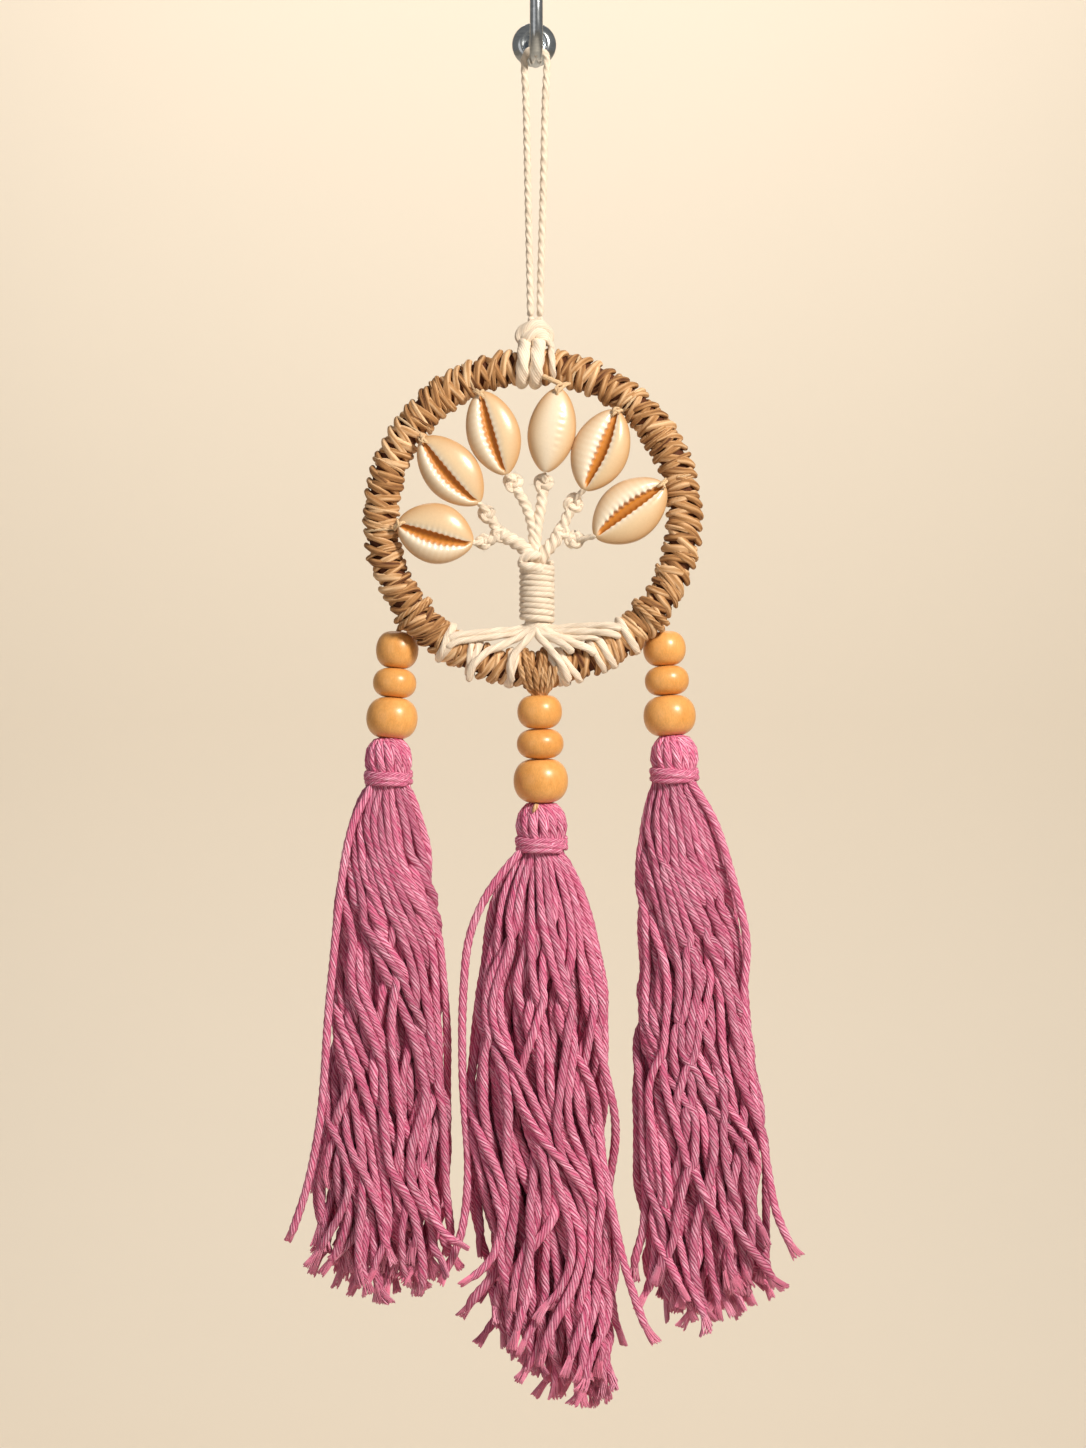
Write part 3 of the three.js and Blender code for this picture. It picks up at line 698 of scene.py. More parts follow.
@dataclass
class Chains:
    """The middle lines of strands that are swept together."""

    lines: list[Points] = field(default_factory=list)
    thicknesses: list[Points] = field(default_factory=list)
    outs: list[Points] = field(default_factory=list)
    tones: list[float] = field(default_factory=list)
    closed: list[bool] = field(default_factory=list)

    def add(
        self,
        line: Points,
        thickness: float | Points = 1.0,
        tone: float = 0.5,
        out: Points | None = None,
        closed: bool = False,
    ) -> None:
        """Adds one strand.

        Args:
            line: Its middle line.
            thickness: Its radius at each point, as a share of the sweep's radius.
            tone: This strand's shade, 0.5 for the finish's own.
            out: The direction that a ribbon's face looks, at each point.
            closed: Whether its end meets its start.
        """
        count = len(line)
        self.lines.append(np.asarray(line, dtype=float))
        self.thicknesses.append(np.broadcast_to(np.asarray(thickness, dtype=float), count).copy())
        self.outs.append(np.zeros((count, 3)) if out is None else np.asarray(out, dtype=float))
        self.tones.append(tone)
        self.closed.append(closed)

    def tapered(
        self,
        line: Points,
        thickness: float | Points = 1.0,
        tone: float = 0.5,
        end: float = 1.2,
    ) -> None:
        """Adds a strand whose two ends close to a point.

        Args:
            line: Its middle line.
            thickness: Its radius at each point, as a share of the sweep's radius.
            tone: This strand's shade, 0.5 for the finish's own.
            end: How long each end takes to close.
        """
        along = places_along(line)
        near = np.minimum(along, along[-1] - along)
        close = np.sqrt(np.clip(near / end, 0.0, 1.0))
        self.add(line, np.broadcast_to(thickness, len(line)) * close, tone)

    def wire(self, name: str) -> bpy.types.Object:
        """Makes the lines one object of edges, in metres, with what each point carries.

        Args:
            name: The object's name.

        Returns:
            The object.
        """
        starts = np.cumsum([0] + [len(line) for line in self.lines])
        edges: list[tuple[int, int]] = []
        for start, line, closed in zip(starts, self.lines, self.closed):
            edges += [(start + i, start + i + 1) for i in range(len(line) - 1)]
            if closed:
                edges.append((start + len(line) - 1, start))
        mesh = bpy.data.meshes.new(name)
        mesh.from_pydata((np.vstack(self.lines) * MM).tolist(), edges, [])
        tones = np.repeat(self.tones, [len(line) for line in self.lines])
        for key, kind, values in (
            ("thick", "FLOAT", np.concatenate(self.thicknesses)),
            ("tone", "FLOAT", tones),
            ("out", "FLOAT_VECTOR", np.vstack(self.outs)),
        ):
            layer = mesh.attributes.new(key, kind, "POINT")
            layer.data.foreach_set("vector" if kind == "FLOAT_VECTOR" else "value", values.ravel())
        return in_scene(name, mesh)


@dataclass(frozen=True)
class Section:
    """How a strand is spun, in millimetres. The ridge is a share of the radius.

    With a step of 0, a line keeps its own points. With a lay of 0, the strand isn't twisted.
    """

    radius: float
    plies: int
    ridge: float
    lay: float
    step: float
    facets: int
    flat: float = 1.0
    uneven: float = 0.0
    ribbon: bool = False


class Spinner:
    """The Geometry Nodes tree that sweeps a spun section along every chain of edges."""

    ON_POINTS = {"data_type": "FLOAT", "domain": "POINT"}
    CLOSED_WITHIN = 2e-5
    LUMPS_A_METRE = 900.0
    SOCKETS = {
        "NodeSocketFloat": ("Radius", "Plies", "Ridge", "Turns a metre", "Step", "Flat", "Uneven", "Seed"),
        "NodeSocketInt": ("Facets",),
        "NodeSocketBool": ("Ribbon", "Points as given"),
        "NodeSocketMaterial": ("Material",),
    }

    def __init__(self) -> None:
        """Builds the tree."""
        self.tree = bpy.data.node_groups.new("spun strands", "GeometryNodeTree")
        self.network = Network(self.tree)
        self.ids: dict[str, str] = {}
        face = self.tree.interface
        face.new_socket("Chains", in_out="INPUT", socket_type="NodeSocketGeometry")
        for kind, names in self.SOCKETS.items():
            for name in names:
                self.ids[name] = face.new_socket(name, in_out="INPUT", socket_type=kind).identifier
        face.new_socket("Strands", in_out="OUTPUT", socket_type="NodeSocketGeometry")
        self._lay_out()

    def _named(self, name: str, kind: str = "FLOAT") -> bpy.types.NodeSocket:
        """What each point carries under a name."""
        node = self.network.add("GeometryNodeInputNamedAttribute", {"data_type": kind}, {"Name": name})
        return next(s for s in node.outputs if s.enabled and s.name == "Attribute")

    def _section(self, given: bpy.types.Node) -> bpy.types.NodeSocket:
        """The strand's section, open at one point so that its places round can run from 0 to 1.

        Args:
            given: The node that gives the tree's inputs.

        Returns:
            The section's curve.
        """
        add, number = self.network.add, self.network.number
        line = add("GeometryNodeCurvePrimitiveLine")
        corners = number(given, "Facets") + 1.0
        cut = add("GeometryNodeResampleCurve", {}, {"Curve": line.outputs[0], "Count": corners})
        share = number(add("GeometryNodeSplineParameter"), "Factor")
        marked = add(
            "GeometryNodeStoreNamedAttribute",
            self.ON_POINTS,
            {"Geometry": cut.outputs[0], "Name": "around", "Value": share},
        )
        angle = Number(self.network, self._named("around")) * TURN
        ply = (angle * number(given, "Plies")).cosine()
        reach = number(given, "Radius") * (ply * number(given, "Ridge") + 1.0)
        place = add(
            "ShaderNodeCombineXYZ",
            {},
            {0: angle.cosine() * reach * number(given, "Flat"), 1: angle.sine() * reach},
        )
        places = {"Geometry": marked.outputs[0], "Position": place.outputs[0]}
        return add("GeometryNodeSetPosition", {}, places).outputs[0]

    def _lay_out(self) -> None:
        """Adds the tree's nodes."""
        add, number = self.network.add, self.network.number
        given = add("NodeGroupInput")
        lines = add("GeometryNodeMeshToCurve", {}, {"Mesh": given.outputs["Chains"]})
        even = add(
            "GeometryNodeResampleCurve",
            {"mode": "LENGTH"},
            {"Curve": lines.outputs[0], "Length": given.outputs["Step"]},
        )
        kept = add(
            "GeometryNodeSwitch",
            {"input_type": "GEOMETRY"},
            {0: given.outputs["Points as given"], 1: even.outputs[0], 2: lines.outputs[0]},
        )
        faced = add(
            "GeometryNodeSetCurveNormal",
            {"mode": "FREE"},
            {
                "Curve": kept.outputs[0],
                "Selection": given.outputs["Ribbon"],
                "Normal": self._named("out", "FLOAT_VECTOR"),
            },
        )
        along = number(add("GeometryNodeSplineParameter"), "Length")
        marked = add(
            "GeometryNodeStoreNamedAttribute",
            self.ON_POINTS,
            {"Geometry": faced.outputs[0], "Name": "along", "Value": along},
        )
        turned = add(
            "GeometryNodeSetCurveTilt",
            {},
            {"Curve": marked.outputs[0], "Tilt": along * number(given, "Turns a metre") * TURN},
        )
        swept = add(
            "GeometryNodeCurveToMesh",
            {},
            {
                "Curve": turned.outputs[0],
                "Profile Curve": self._section(given),
                "Scale": self._named("thick"),
            },
        )
        place = add("ShaderNodeCombineXYZ", {}, {0: self._named("around"), 1: self._named("along")})
        mapped = add(
            "GeometryNodeStoreNamedAttribute",
            {"data_type": "FLOAT2", "domain": "CORNER"},
            {"Geometry": swept.outputs[0], "Name": "strand", "Value": place.outputs[0]},
        )
        closed = add(
            "GeometryNodeMergeByDistance",
            {},
            {"Geometry": mapped.outputs[0], "Distance": self.CLOSED_WITHIN},
        )
        noise = add(
            "ShaderNodeTexNoise",
            {"noise_dimensions": "4D"},
            {"Scale": self.LUMPS_A_METRE, "Detail": 2.0, "W": given.outputs["Seed"]},
        )
        rise = (number(noise, "Fac") - 0.5) * number(given, "Uneven") * 2.0
        push = add(
            "ShaderNodeVectorMath",
            {"operation": "SCALE"},
            {0: add("GeometryNodeInputNormal").outputs[0], "Scale": rise},
        )
        moves = {"Geometry": closed.outputs[0], "Offset": push.outputs[0]}
        rough = add("GeometryNodeSetPosition", {}, moves)
        smooth = add("GeometryNodeSetShadeSmooth", {}, {"Geometry": rough.outputs[0]})
        real = add("GeometryNodeRealizeInstances", {}, {"Geometry": smooth.outputs[0]})
        dressed = add(
            "GeometryNodeSetMaterial",
            {},
            {"Geometry": real.outputs[0], "Material": given.outputs["Material"]},
        )
        add("NodeGroupOutput", {}, {0: dressed.outputs[0]})

    def spin(
        self, name: str, chains: Chains, section: Section, material: bpy.types.Material
    ) -> bpy.types.Object:
        """Sweeps chains into one plain mesh.

        Args:
            name: The new piece's name.
            chains: The middle lines.
            section: The strand's section and twist.
            material: Its finish.

        Returns:
            The new piece, at the origin.
        """
        wire = chains.wire(f"{name} lines")
        modifier = wire.modifiers.new("spun strands", "NODES")
        modifier.node_group = self.tree
        values = {
            "Radius": section.radius * MM,
            "Plies": float(section.plies),
            "Ridge": section.ridge,
            "Turns a metre": -1.0 / (section.lay * MM) if section.lay else 0.0,
            "Step": section.step * MM,
            "Facets": section.facets,
            "Flat": section.flat,
            "Uneven": section.uneven * MM,
            "Seed": float(len(name)),
            "Ribbon": section.ribbon,
            "Points as given": section.step == 0.0,
            "Material": material,
        }
        for key, value in values.items():
            modifier[self.ids[key]] = value
        return settled(wire, name)


# Pieces


def settled(thing: bpy.types.Object, name: str) -> bpy.types.Object:
    """Turns an object's evaluated shape into a plain mesh piece and removes the object.

    Args:
        thing: The object with its live modifiers.
        name: The piece's name.

    Returns:
        The plain piece.
    """
    graph = bpy.context.evaluated_depsgraph_get()
    mesh = bpy.data.meshes.new_from_object(
        thing.evaluated_get(graph), preserve_all_data_layers=True, depsgraph=graph
    )
    mesh.name = name
    for key in ("around", "along", "thick", "out"):
        layer = mesh.attributes.get(key)
        if layer is not None:
            mesh.attributes.remove(layer)
    old = thing.data
    bpy.data.objects.remove(thing)
    bpy.data.meshes.remove(old)
    return in_scene(name, mesh)


def plain_piece(
    name: str,
    points: Points,
    faces: Sequence[Sequence[int]],
    material: bpy.types.Material,
) -> bpy.types.Object:
    """A smooth mesh piece from points in millimetres.

    Args:
        name: The piece's name.
        points: Its points.
        faces: The corners of its faces.
        material: Its finish.

    Returns:
        The piece, at the origin.
    """
    mesh = bpy.data.meshes.new(name)
    mesh.from_pydata((np.asarray(points) * MM).tolist(), [], [list(face) for face in faces])
    mesh.materials.append(material)
    mesh.polygons.foreach_set("use_smooth", [True] * len(mesh.polygons))
    return in_scene(name, mesh)


def carry(piece: bpy.types.Object, name: str, values: Points) -> None:
    """Puts values on a piece's points.

    Args:
        piece: The piece.
        name: What the values are called.
        values: A number or a vector for each point.
    """
    kind = "FLOAT" if values.ndim == 1 else "FLOAT_VECTOR"
    layer = piece.data.attributes.new(name, kind, "POINT")
    layer.data.foreach_set("value" if values.ndim == 1 else "vector", values.astype(float).ravel())


def turned_piece(
    name: str,
    profile: Sequence[tuple[float, float]],
    segments: int,
    place: Callable[[Points], Points],
    material: bpy.types.Material,
) -> bpy.types.Object:
    """A piece turned on a lathe.

    Args:
        name: The piece's name.
        profile: Radius and height of each ring, a closed outline or one that ends on the axis.
        segments: How many sides it has.
        place: Moves points from the lathe's axis, along Z, to the model.
        material: Its finish.

    Returns:
        The piece.
    """
    angles = np.arange(segments) * TURN / segments
    points: list[Points] = []
    rings: list[list[int]] = []
    for radius, height in profile:
        if radius < 1e-6:
            rings.append([len(points)] * segments)
            points.append(np.array((0.0, 0.0, height)))
        else:
            rings.append(list(range(len(points), len(points) + segments)))
            points += [np.array((radius * math.cos(a), radius * math.sin(a), height)) for a in angles]
    faces = []
    loops = list(zip(rings, rings[1:]))
    if profile[0][0] > 1e-6:
        loops.append((rings[-1], rings[0]))
    for low, high in loops:
        for i in range(segments):
            j = (i + 1) % segments
            corners = list(dict.fromkeys((low[i], low[j], high[j], high[i])))
            if len(corners) > 2:
                faces.append(corners)
    return plain_piece(name, place(np.array(points)), faces, material)


def outward(piece: bpy.types.Object) -> None:
    """Makes a piece's faces point outwards.

    Args:
        piece: The piece, a closed surface.
    """
    shape = bmesh.new()
    shape.from_mesh(piece.data)
    bmesh.ops.recalc_face_normals(shape, faces=shape.faces[:])
    shape.to_mesh(piece.data)
    shape.free()


def capped_rings(rows: int, count: int) -> list[list[int]]:
    """The faces of a closed surface of rings.

    Args:
        rows: How many rings it has.
        count: How many points each ring has.

    Returns:
        The corners of its faces. The two points after the rings close its ends.
    """
    faces = []
    for row in range(rows - 1):
        low, high = row * count, (row + 1) * count
        for i in range(count):
            j = (i + 1) % count
            faces.append([low + i, low + j, high + j, high + i])
    first, last, top = rows * count, rows * count + 1, (rows - 1) * count
    for i in range(count):
        j = (i + 1) % count
        faces += [[first, j, i], [last, top + i, top + j]]
    return faces


def with_ends(values: Points) -> Points:
    """A surface's values, and its first and last again for the two points that close it."""
    return np.concatenate((values.ravel(), (values.ravel()[0], values.ravel()[-1])))


@dataclass
class Workshop:
    """The finishes, and how a piece joins the model."""

    spinner: Spinner
    finishes: dict[Slot, bpy.types.Material]
    thread: bpy.types.Material
    yarn_threads: bpy.types.Material

    def join(self, piece: bpy.types.Object, slot: Slot, *nodes: str) -> bpy.types.Object:
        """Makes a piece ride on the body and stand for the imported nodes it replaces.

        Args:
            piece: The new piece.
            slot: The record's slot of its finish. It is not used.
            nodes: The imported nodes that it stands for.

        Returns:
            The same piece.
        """
        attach(piece, BODY)
        if nodes:
            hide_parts(*nodes)
        count = sum(len(face.vertices) - 2 for face in piece.data.polygons)
        log.info("%s: %d triangles, for %s", piece.name, count, ", ".join(nodes) or "no node")
        return piece

    def spin(
        self,
        name: str,
        chains: Chains,
        section: Section,
        slot: Slot,
        *nodes: str,
        finish: bpy.types.Material | None = None,
    ) -> bpy.types.Object:
        """Spins lines into a piece, with the slot's finish or another, and joins it."""
        piece = self.spinner.spin(name, chains, section, finish or self.finishes[slot])
        return self.join(piece, slot, *nodes)


def round_hoop(angle: float, lean: float, strand: float, clear: float) -> tuple[Points, Points]:
    """A turn of strand round the hoop's tube.

    Args:
        angle: Its place round the hoop, in degrees from +X.
        lean: How it leans along the hoop, in degrees.
        strand: Its radius.
        clear: The radius that it stays clear of.

    Returns:
        The turn's points and the direction out of the tube at each.
    """
    place, slant = math.radians(angle), math.radians(lean)
    reach = clear + strand
    outwards = np.array((math.cos(place + slant), 0.0, math.sin(place + slant)))
    middle = in_hoop(HOOP_RADIUS * math.cos(place), 0.0, HOOP_RADIUS * math.sin(place))
    turn = np.arange(40) * TURN / 40
    arm = np.outer(np.cos(turn) / math.cos(slant), outwards) + np.outer(np.sin(turn), BACK)
    return middle + reach * arm, arm


def overhand(middle: Points, half: float, turn: float, squash: float) -> Points:
    """The closed run of a tight overhand knot, facing the front.

    Args:
        middle: The knot's middle.
        half: Half its width across the run's middle line.
        turn: Its turn in the hoop's plane, in degrees.
        squash: Its depth as a share of its width.

    Returns:
        The run's points.
    """
    t = np.arange(60) * TURN / 60
    across = (2.0 + np.cos(3 * t)) * np.cos(2 * t) / 3.0
    up = (2.0 + np.cos(3 * t)) * np.sin(2 * t) / 3.0
    depth = np.sin(3 * t) / 3.0 * squash * 1.6
    angle = math.radians(turn)
    x = across * math.cos(angle) - up * math.sin(angle)
    z = across * math.sin(angle) + up * math.cos(angle)
    return middle + half * np.column_stack((x, depth, z))


# The hook and its cord


@dataclass
class WallHook:
    """The steel plate and rod on the wall."""

    shop: Workshop
    plate_radius: float = 6.6
    plate_thickness: float = 3.0
    dish: float = 0.8
    rod_radius: float = 1.9
    rod_rounding: float = 0.6
    route: Route = (
        (0, -3.3, 0), (0, -5.8, -0.3), (0.2, -9.6, -3.2), (0.4, -13.5, -6.9), (0.5, -18, -8.2),
        (0.6, -22.5, -6.6), (0.7, -25.6, -2.2), (0.7, -26.6, 4), (0.7, -26.8, 12), (0.7, -27.4, 19),
    )

    def plate(self) -> None:
        """Turns the domed plate with its dished middle."""
        rim, top = self.plate_radius, self.plate_thickness
        profile = [(0.0, 0.0), (rim - 0.15, 0.0), (rim, 0.12), (rim, 0.22 * top), (0.985 * rim, 0.36 * top)]
        for share in np.linspace(0.0, 1.0, 9):
            profile.append(((0.95 - 0.37 * share) * rim, top * (0.47 + 0.53 * math.sin(share * TURN / 4))))
        for share in np.linspace(0.15, 1.0, 6):
            profile.append((0.58 * rim * (1.0 - share), top - self.dish * math.sin(share * TURN / 4)))
        piece = turned_piece(
            "steel_plate",
            profile,
            64,
            lambda p: np.column_stack((p[:, 0], -p[:, 2], p[:, 1])),
            self.shop.finishes[Slot.STEEL],
        )
        outward(piece)
        self.shop.join(piece, Slot.STEEL, "hook_plate")

    def rod(self) -> None:
        """Bends the round rod."""
        line = flowing(self.route, 0.5)
        along = places_along(line)
        left = np.minimum(along, along[-1] - along) / self.rod_rounding
        thickness = np.where(left < 1.0, np.sqrt(np.clip(1 - (1 - left) ** 2, 0, 1)), 1.0)
        chains = Chains()
        chains.add(line, thickness)
        section = Section(self.rod_radius, plies=0, ridge=0.0, lay=0.0, step=0.5, facets=28)
        self.shop.spin("steel_rod", chains, section, Slot.STEEL, "hook_rod")

    def build(self) -> None:
        """Builds the hook."""
        self.plate()
        self.rod()


@dataclass
class HangingCord:
    """The loop of cotton cord over the hook."""

    shop: Workshop
    radius: float = 1.0
    route: Route = (
        (-1.0, -18, -83.7), (-1.2, -18, -72), (-1.5, -18, -58), (-1.8, -18, -44), (-2.1, -18, -30),
        (-2.4, -18, -18), (-2.8, -18, -10.5), (-2.75, -18, -7.2), (-1.5, -18, -5.2), (0.5, -18, -4.5),
        (2.5, -18, -5.2), (3.75, -18, -7.2), (3.8, -18, -10.5), (3.4, -18, -18), (3.1, -18, -30),
        (2.8, -18, -44), (2.4, -18, -58), (2.0, -18, -72), (1.8, -18, -83.7),
    )

    def build(self) -> None:
        """Spins the cord along its route."""
        line = flowing(self.route, 0.7)
        chains = Chains()
        chains.tapered(line, 1.0, 0.6, 0.8)
        section = Section(self.radius, plies=3, ridge=0.14, lay=9.0, step=0.6, facets=18, uneven=0.03)
        piece = self.shop.spin("hanging_cord", chains, section, Slot.COTTON, "hanging_loop")
        2 * self.radius * MM


@dataclass
class TopKnot:
    """The overhand knot over the hoop and the strands that hitch it on, from the hoop's middle."""

    shop: Workshop
    strand: float = 1.85
    bedded: float = 3.85
    rise: float = 1.2
    hitches: tuple[Turn, ...] = ((93.5, -8, 1.88), (88.3, -3, 2.0), (82.6, 12, 0.9))
    tail: Route = ((3, -1, 53.6), (4.8, -2.6, 51.8), (6, -4.6, 49))
    stubs: tuple[float, ...] = (-0.56, 2.24)
    runs: tuple[Route, ...] = (
        ((-3.3, -1.2, 50.6), (-3.5, -1.8, 52.8), (-2.3, -2.2, 55.0), (0.2, -2.2, 56.3), (2.8, -2.0, 55.9),
         (4.2, -1.4, 54.2), (4.3, -1.0, 52.0), (3.4, -1.2, 50.4)),
        ((-3.0, -2.0, 51.2), (-1.2, -3.2, 53.0), (1.2, -3.3, 53.9), (3.2, -2.6, 53.0), (3.9, -1.4, 51.0)),
        ((-3.3, 0.6, 51.4), (-2.6, 2.2, 53.8), (0.4, 2.9, 55.2), (3.4, 2.2, 53.8), (4.1, 0.6, 51.6)),
        ((-2.6, 1.2, 50.8), (0.4, 2.8, 51.6), (3.4, 1.2, 50.8)),
    )

    def build(self) -> None:
        """Ties the knot and its hitches."""
        chains = Chains()
        for number, run in enumerate(self.runs):
            chains.tapered(hoop_line(run), 1.0, 0.4 + 0.1 * number, 2.0)
        for number, (angle, lean, strand) in enumerate(self.hitches):
            turn, out = round_hoop(angle, lean, strand, self.bedded)
            turn = turn + out * (0.0, 0.9, 0.0) + (0.0, 0.0, self.rise)
            chains.add(turn, strand / self.strand, 0.62 + 0.1 * number, out, True)
        chains.tapered(hoop_line(self.tail), 0.85 / self.strand, 0.7)
        for x in self.stubs:
            stub = hoop_line(((0.8 * x + 0.2, 0, 55.6), (x, 0, 59.6)))
            chains.tapered(stub, 1.02 / self.strand, 0.6, 0.7)
        section = Section(self.strand, plies=3, ridge=0.11, lay=15.0, step=0.6, facets=21, uneven=0.06)
        self.shop.spin("top_knot_strands", chains, section, Slot.COTTON, "top_knot")


# The hoop


@dataclass
class Hoop:
    """The ring and the two crossed layers of raffia wound on it."""

    shop: Workshop
    turns: int = 78
    core_radius: float = 3.7
    reach: float = 4.32
    lift: float = 0.42
    slant: float = -3.1
    cross_slant: float = 1.0
    width: float = 1.25
    thin_turns: int = 36

    def core(self) -> None:
        """Makes the ring under the raffia, dark as painted shade for the gaps between ribbons."""
        turn = np.arange(180) * TURN / 180
        line = HOOP_MIDDLE + HOOP_RADIUS * np.column_stack((np.cos(turn), np.zeros(180), np.sin(turn)))
        chains = Chains()
        # The very low tone turns the core dark: painted shade for the gaps between ribbons.
        chains.add(line, 1.0, -0.8, None, True)
        section = Section(self.core_radius, plies=7, ridge=0.05, lay=60.0, step=1.6, facets=28)
        self.shop.spin("raffia_core", chains, section, Slot.RAFFIA)

    def wound(
        self, place: float, slant: float, radius: float, lift: float, rng: np.random.Generator
    ) -> tuple[Points, Points]:
        """One turn of ribbon round the ring's tube.

        Args:
            place: Where it crosses the tube's middle, in radians round the hoop.
            slant: How far along it has moved when it is outermost, in millimetres.
            radius: Its distance from the tube's middle.
            lift: How much further out it lies where it is outermost, to pass over its neighbour.
            rng: The source of its unevenness.

        Returns:
            Its points and the direction out of the tube at each.
        """
        count = 36
        turn = np.arange(count) * TURN / count
        wobble = sum(
            rng.normal(0, 0.22 / wave) * np.sin(wave * turn + rng.uniform(0, TURN)) for wave in (1, 2, 3)
        )
        swell = sum(rng.normal(0, 0.10) * np.sin(wave * turn + rng.uniform(0, TURN)) for wave in (2, 3, 5))
        run = 0.81 * (np.cos(turn) + np.cos(3 * turn) / 9 + np.cos(5 * turn) / 25)
        along = place + (slant * run + wobble) / HOOP_RADIUS
        outwards = np.column_stack((np.cos(along), np.zeros(count), np.sin(along)))
        arm = np.cos(turn)[:, None] * outwards + np.sin(turn)[:, None] * BACK
        line = HOOP_MIDDLE + HOOP_RADIUS * outwards + (radius + swell + lift * np.cos(turn))[:, None] * arm
        return line, arm

    def ribbons(self) -> None:
        """Winds the two layers, and the thinner strands that stray across them."""
        rng = np.random.default_rng(11)
        chains = Chains()
        layers = ((self.lift, self.slant), (-self.lift, self.cross_slant))
        for number in range(self.turns):
            for layer, (lift, lean) in enumerate(layers):
                place = TURN * (number + 0.5 * layer + rng.uniform(-0.16, 0.16)) / self.turns
                slant = lean + rng.normal(0, 0.5)
                line, out = self.wound(place, slant, self.reach + rng.uniform(-0.16, 0.16), lift, rng)
                waist = 1.0 - 0.16 * np.cos(np.arange(len(line)) * TURN / len(line)) ** 2
                chains.add(line, rng.uniform(0.80, 1.10) * waist, rng.uniform(0.0, 1.0), out, True)
        for _ in range(self.thin_turns):
            place = rng.uniform(0, TURN)
            side = rng.choice((-1.0, 1.0))
            line, out = self.wound(place, rng.uniform(-3.4, 2.2), self.reach + 0.55, 0.35 * side, rng)
            chains.add(line, rng.uniform(0.40, 0.66), rng.uniform(0.0, 1.0), out, True)
        section = Section(
            self.width,
            plies=5,
            ridge=0.035,
            lay=0.0,
            step=1.1,
            facets=12,
            flat=0.84,
            uneven=0.06,
            ribbon=True,
        )
        self.shop.spin("raffia_ribbons", chains, section, Slot.RAFFIA, "hoop")

    def build(self) -> None:
        """Builds the hoop."""
        self.core()
        self.ribbons()


# The shells


@dataclass(frozen=True)
class ShellPlace:
    """One shell's tips and width, from the hoop's middle, and its lashing."""

    inner: tuple[float, float]
    outer: tuple[float, float]
    width: float
    front: float
    shows_back: bool
    tie_turn: float
    slit: float = -0.1
    slit_bend: float = 0.1


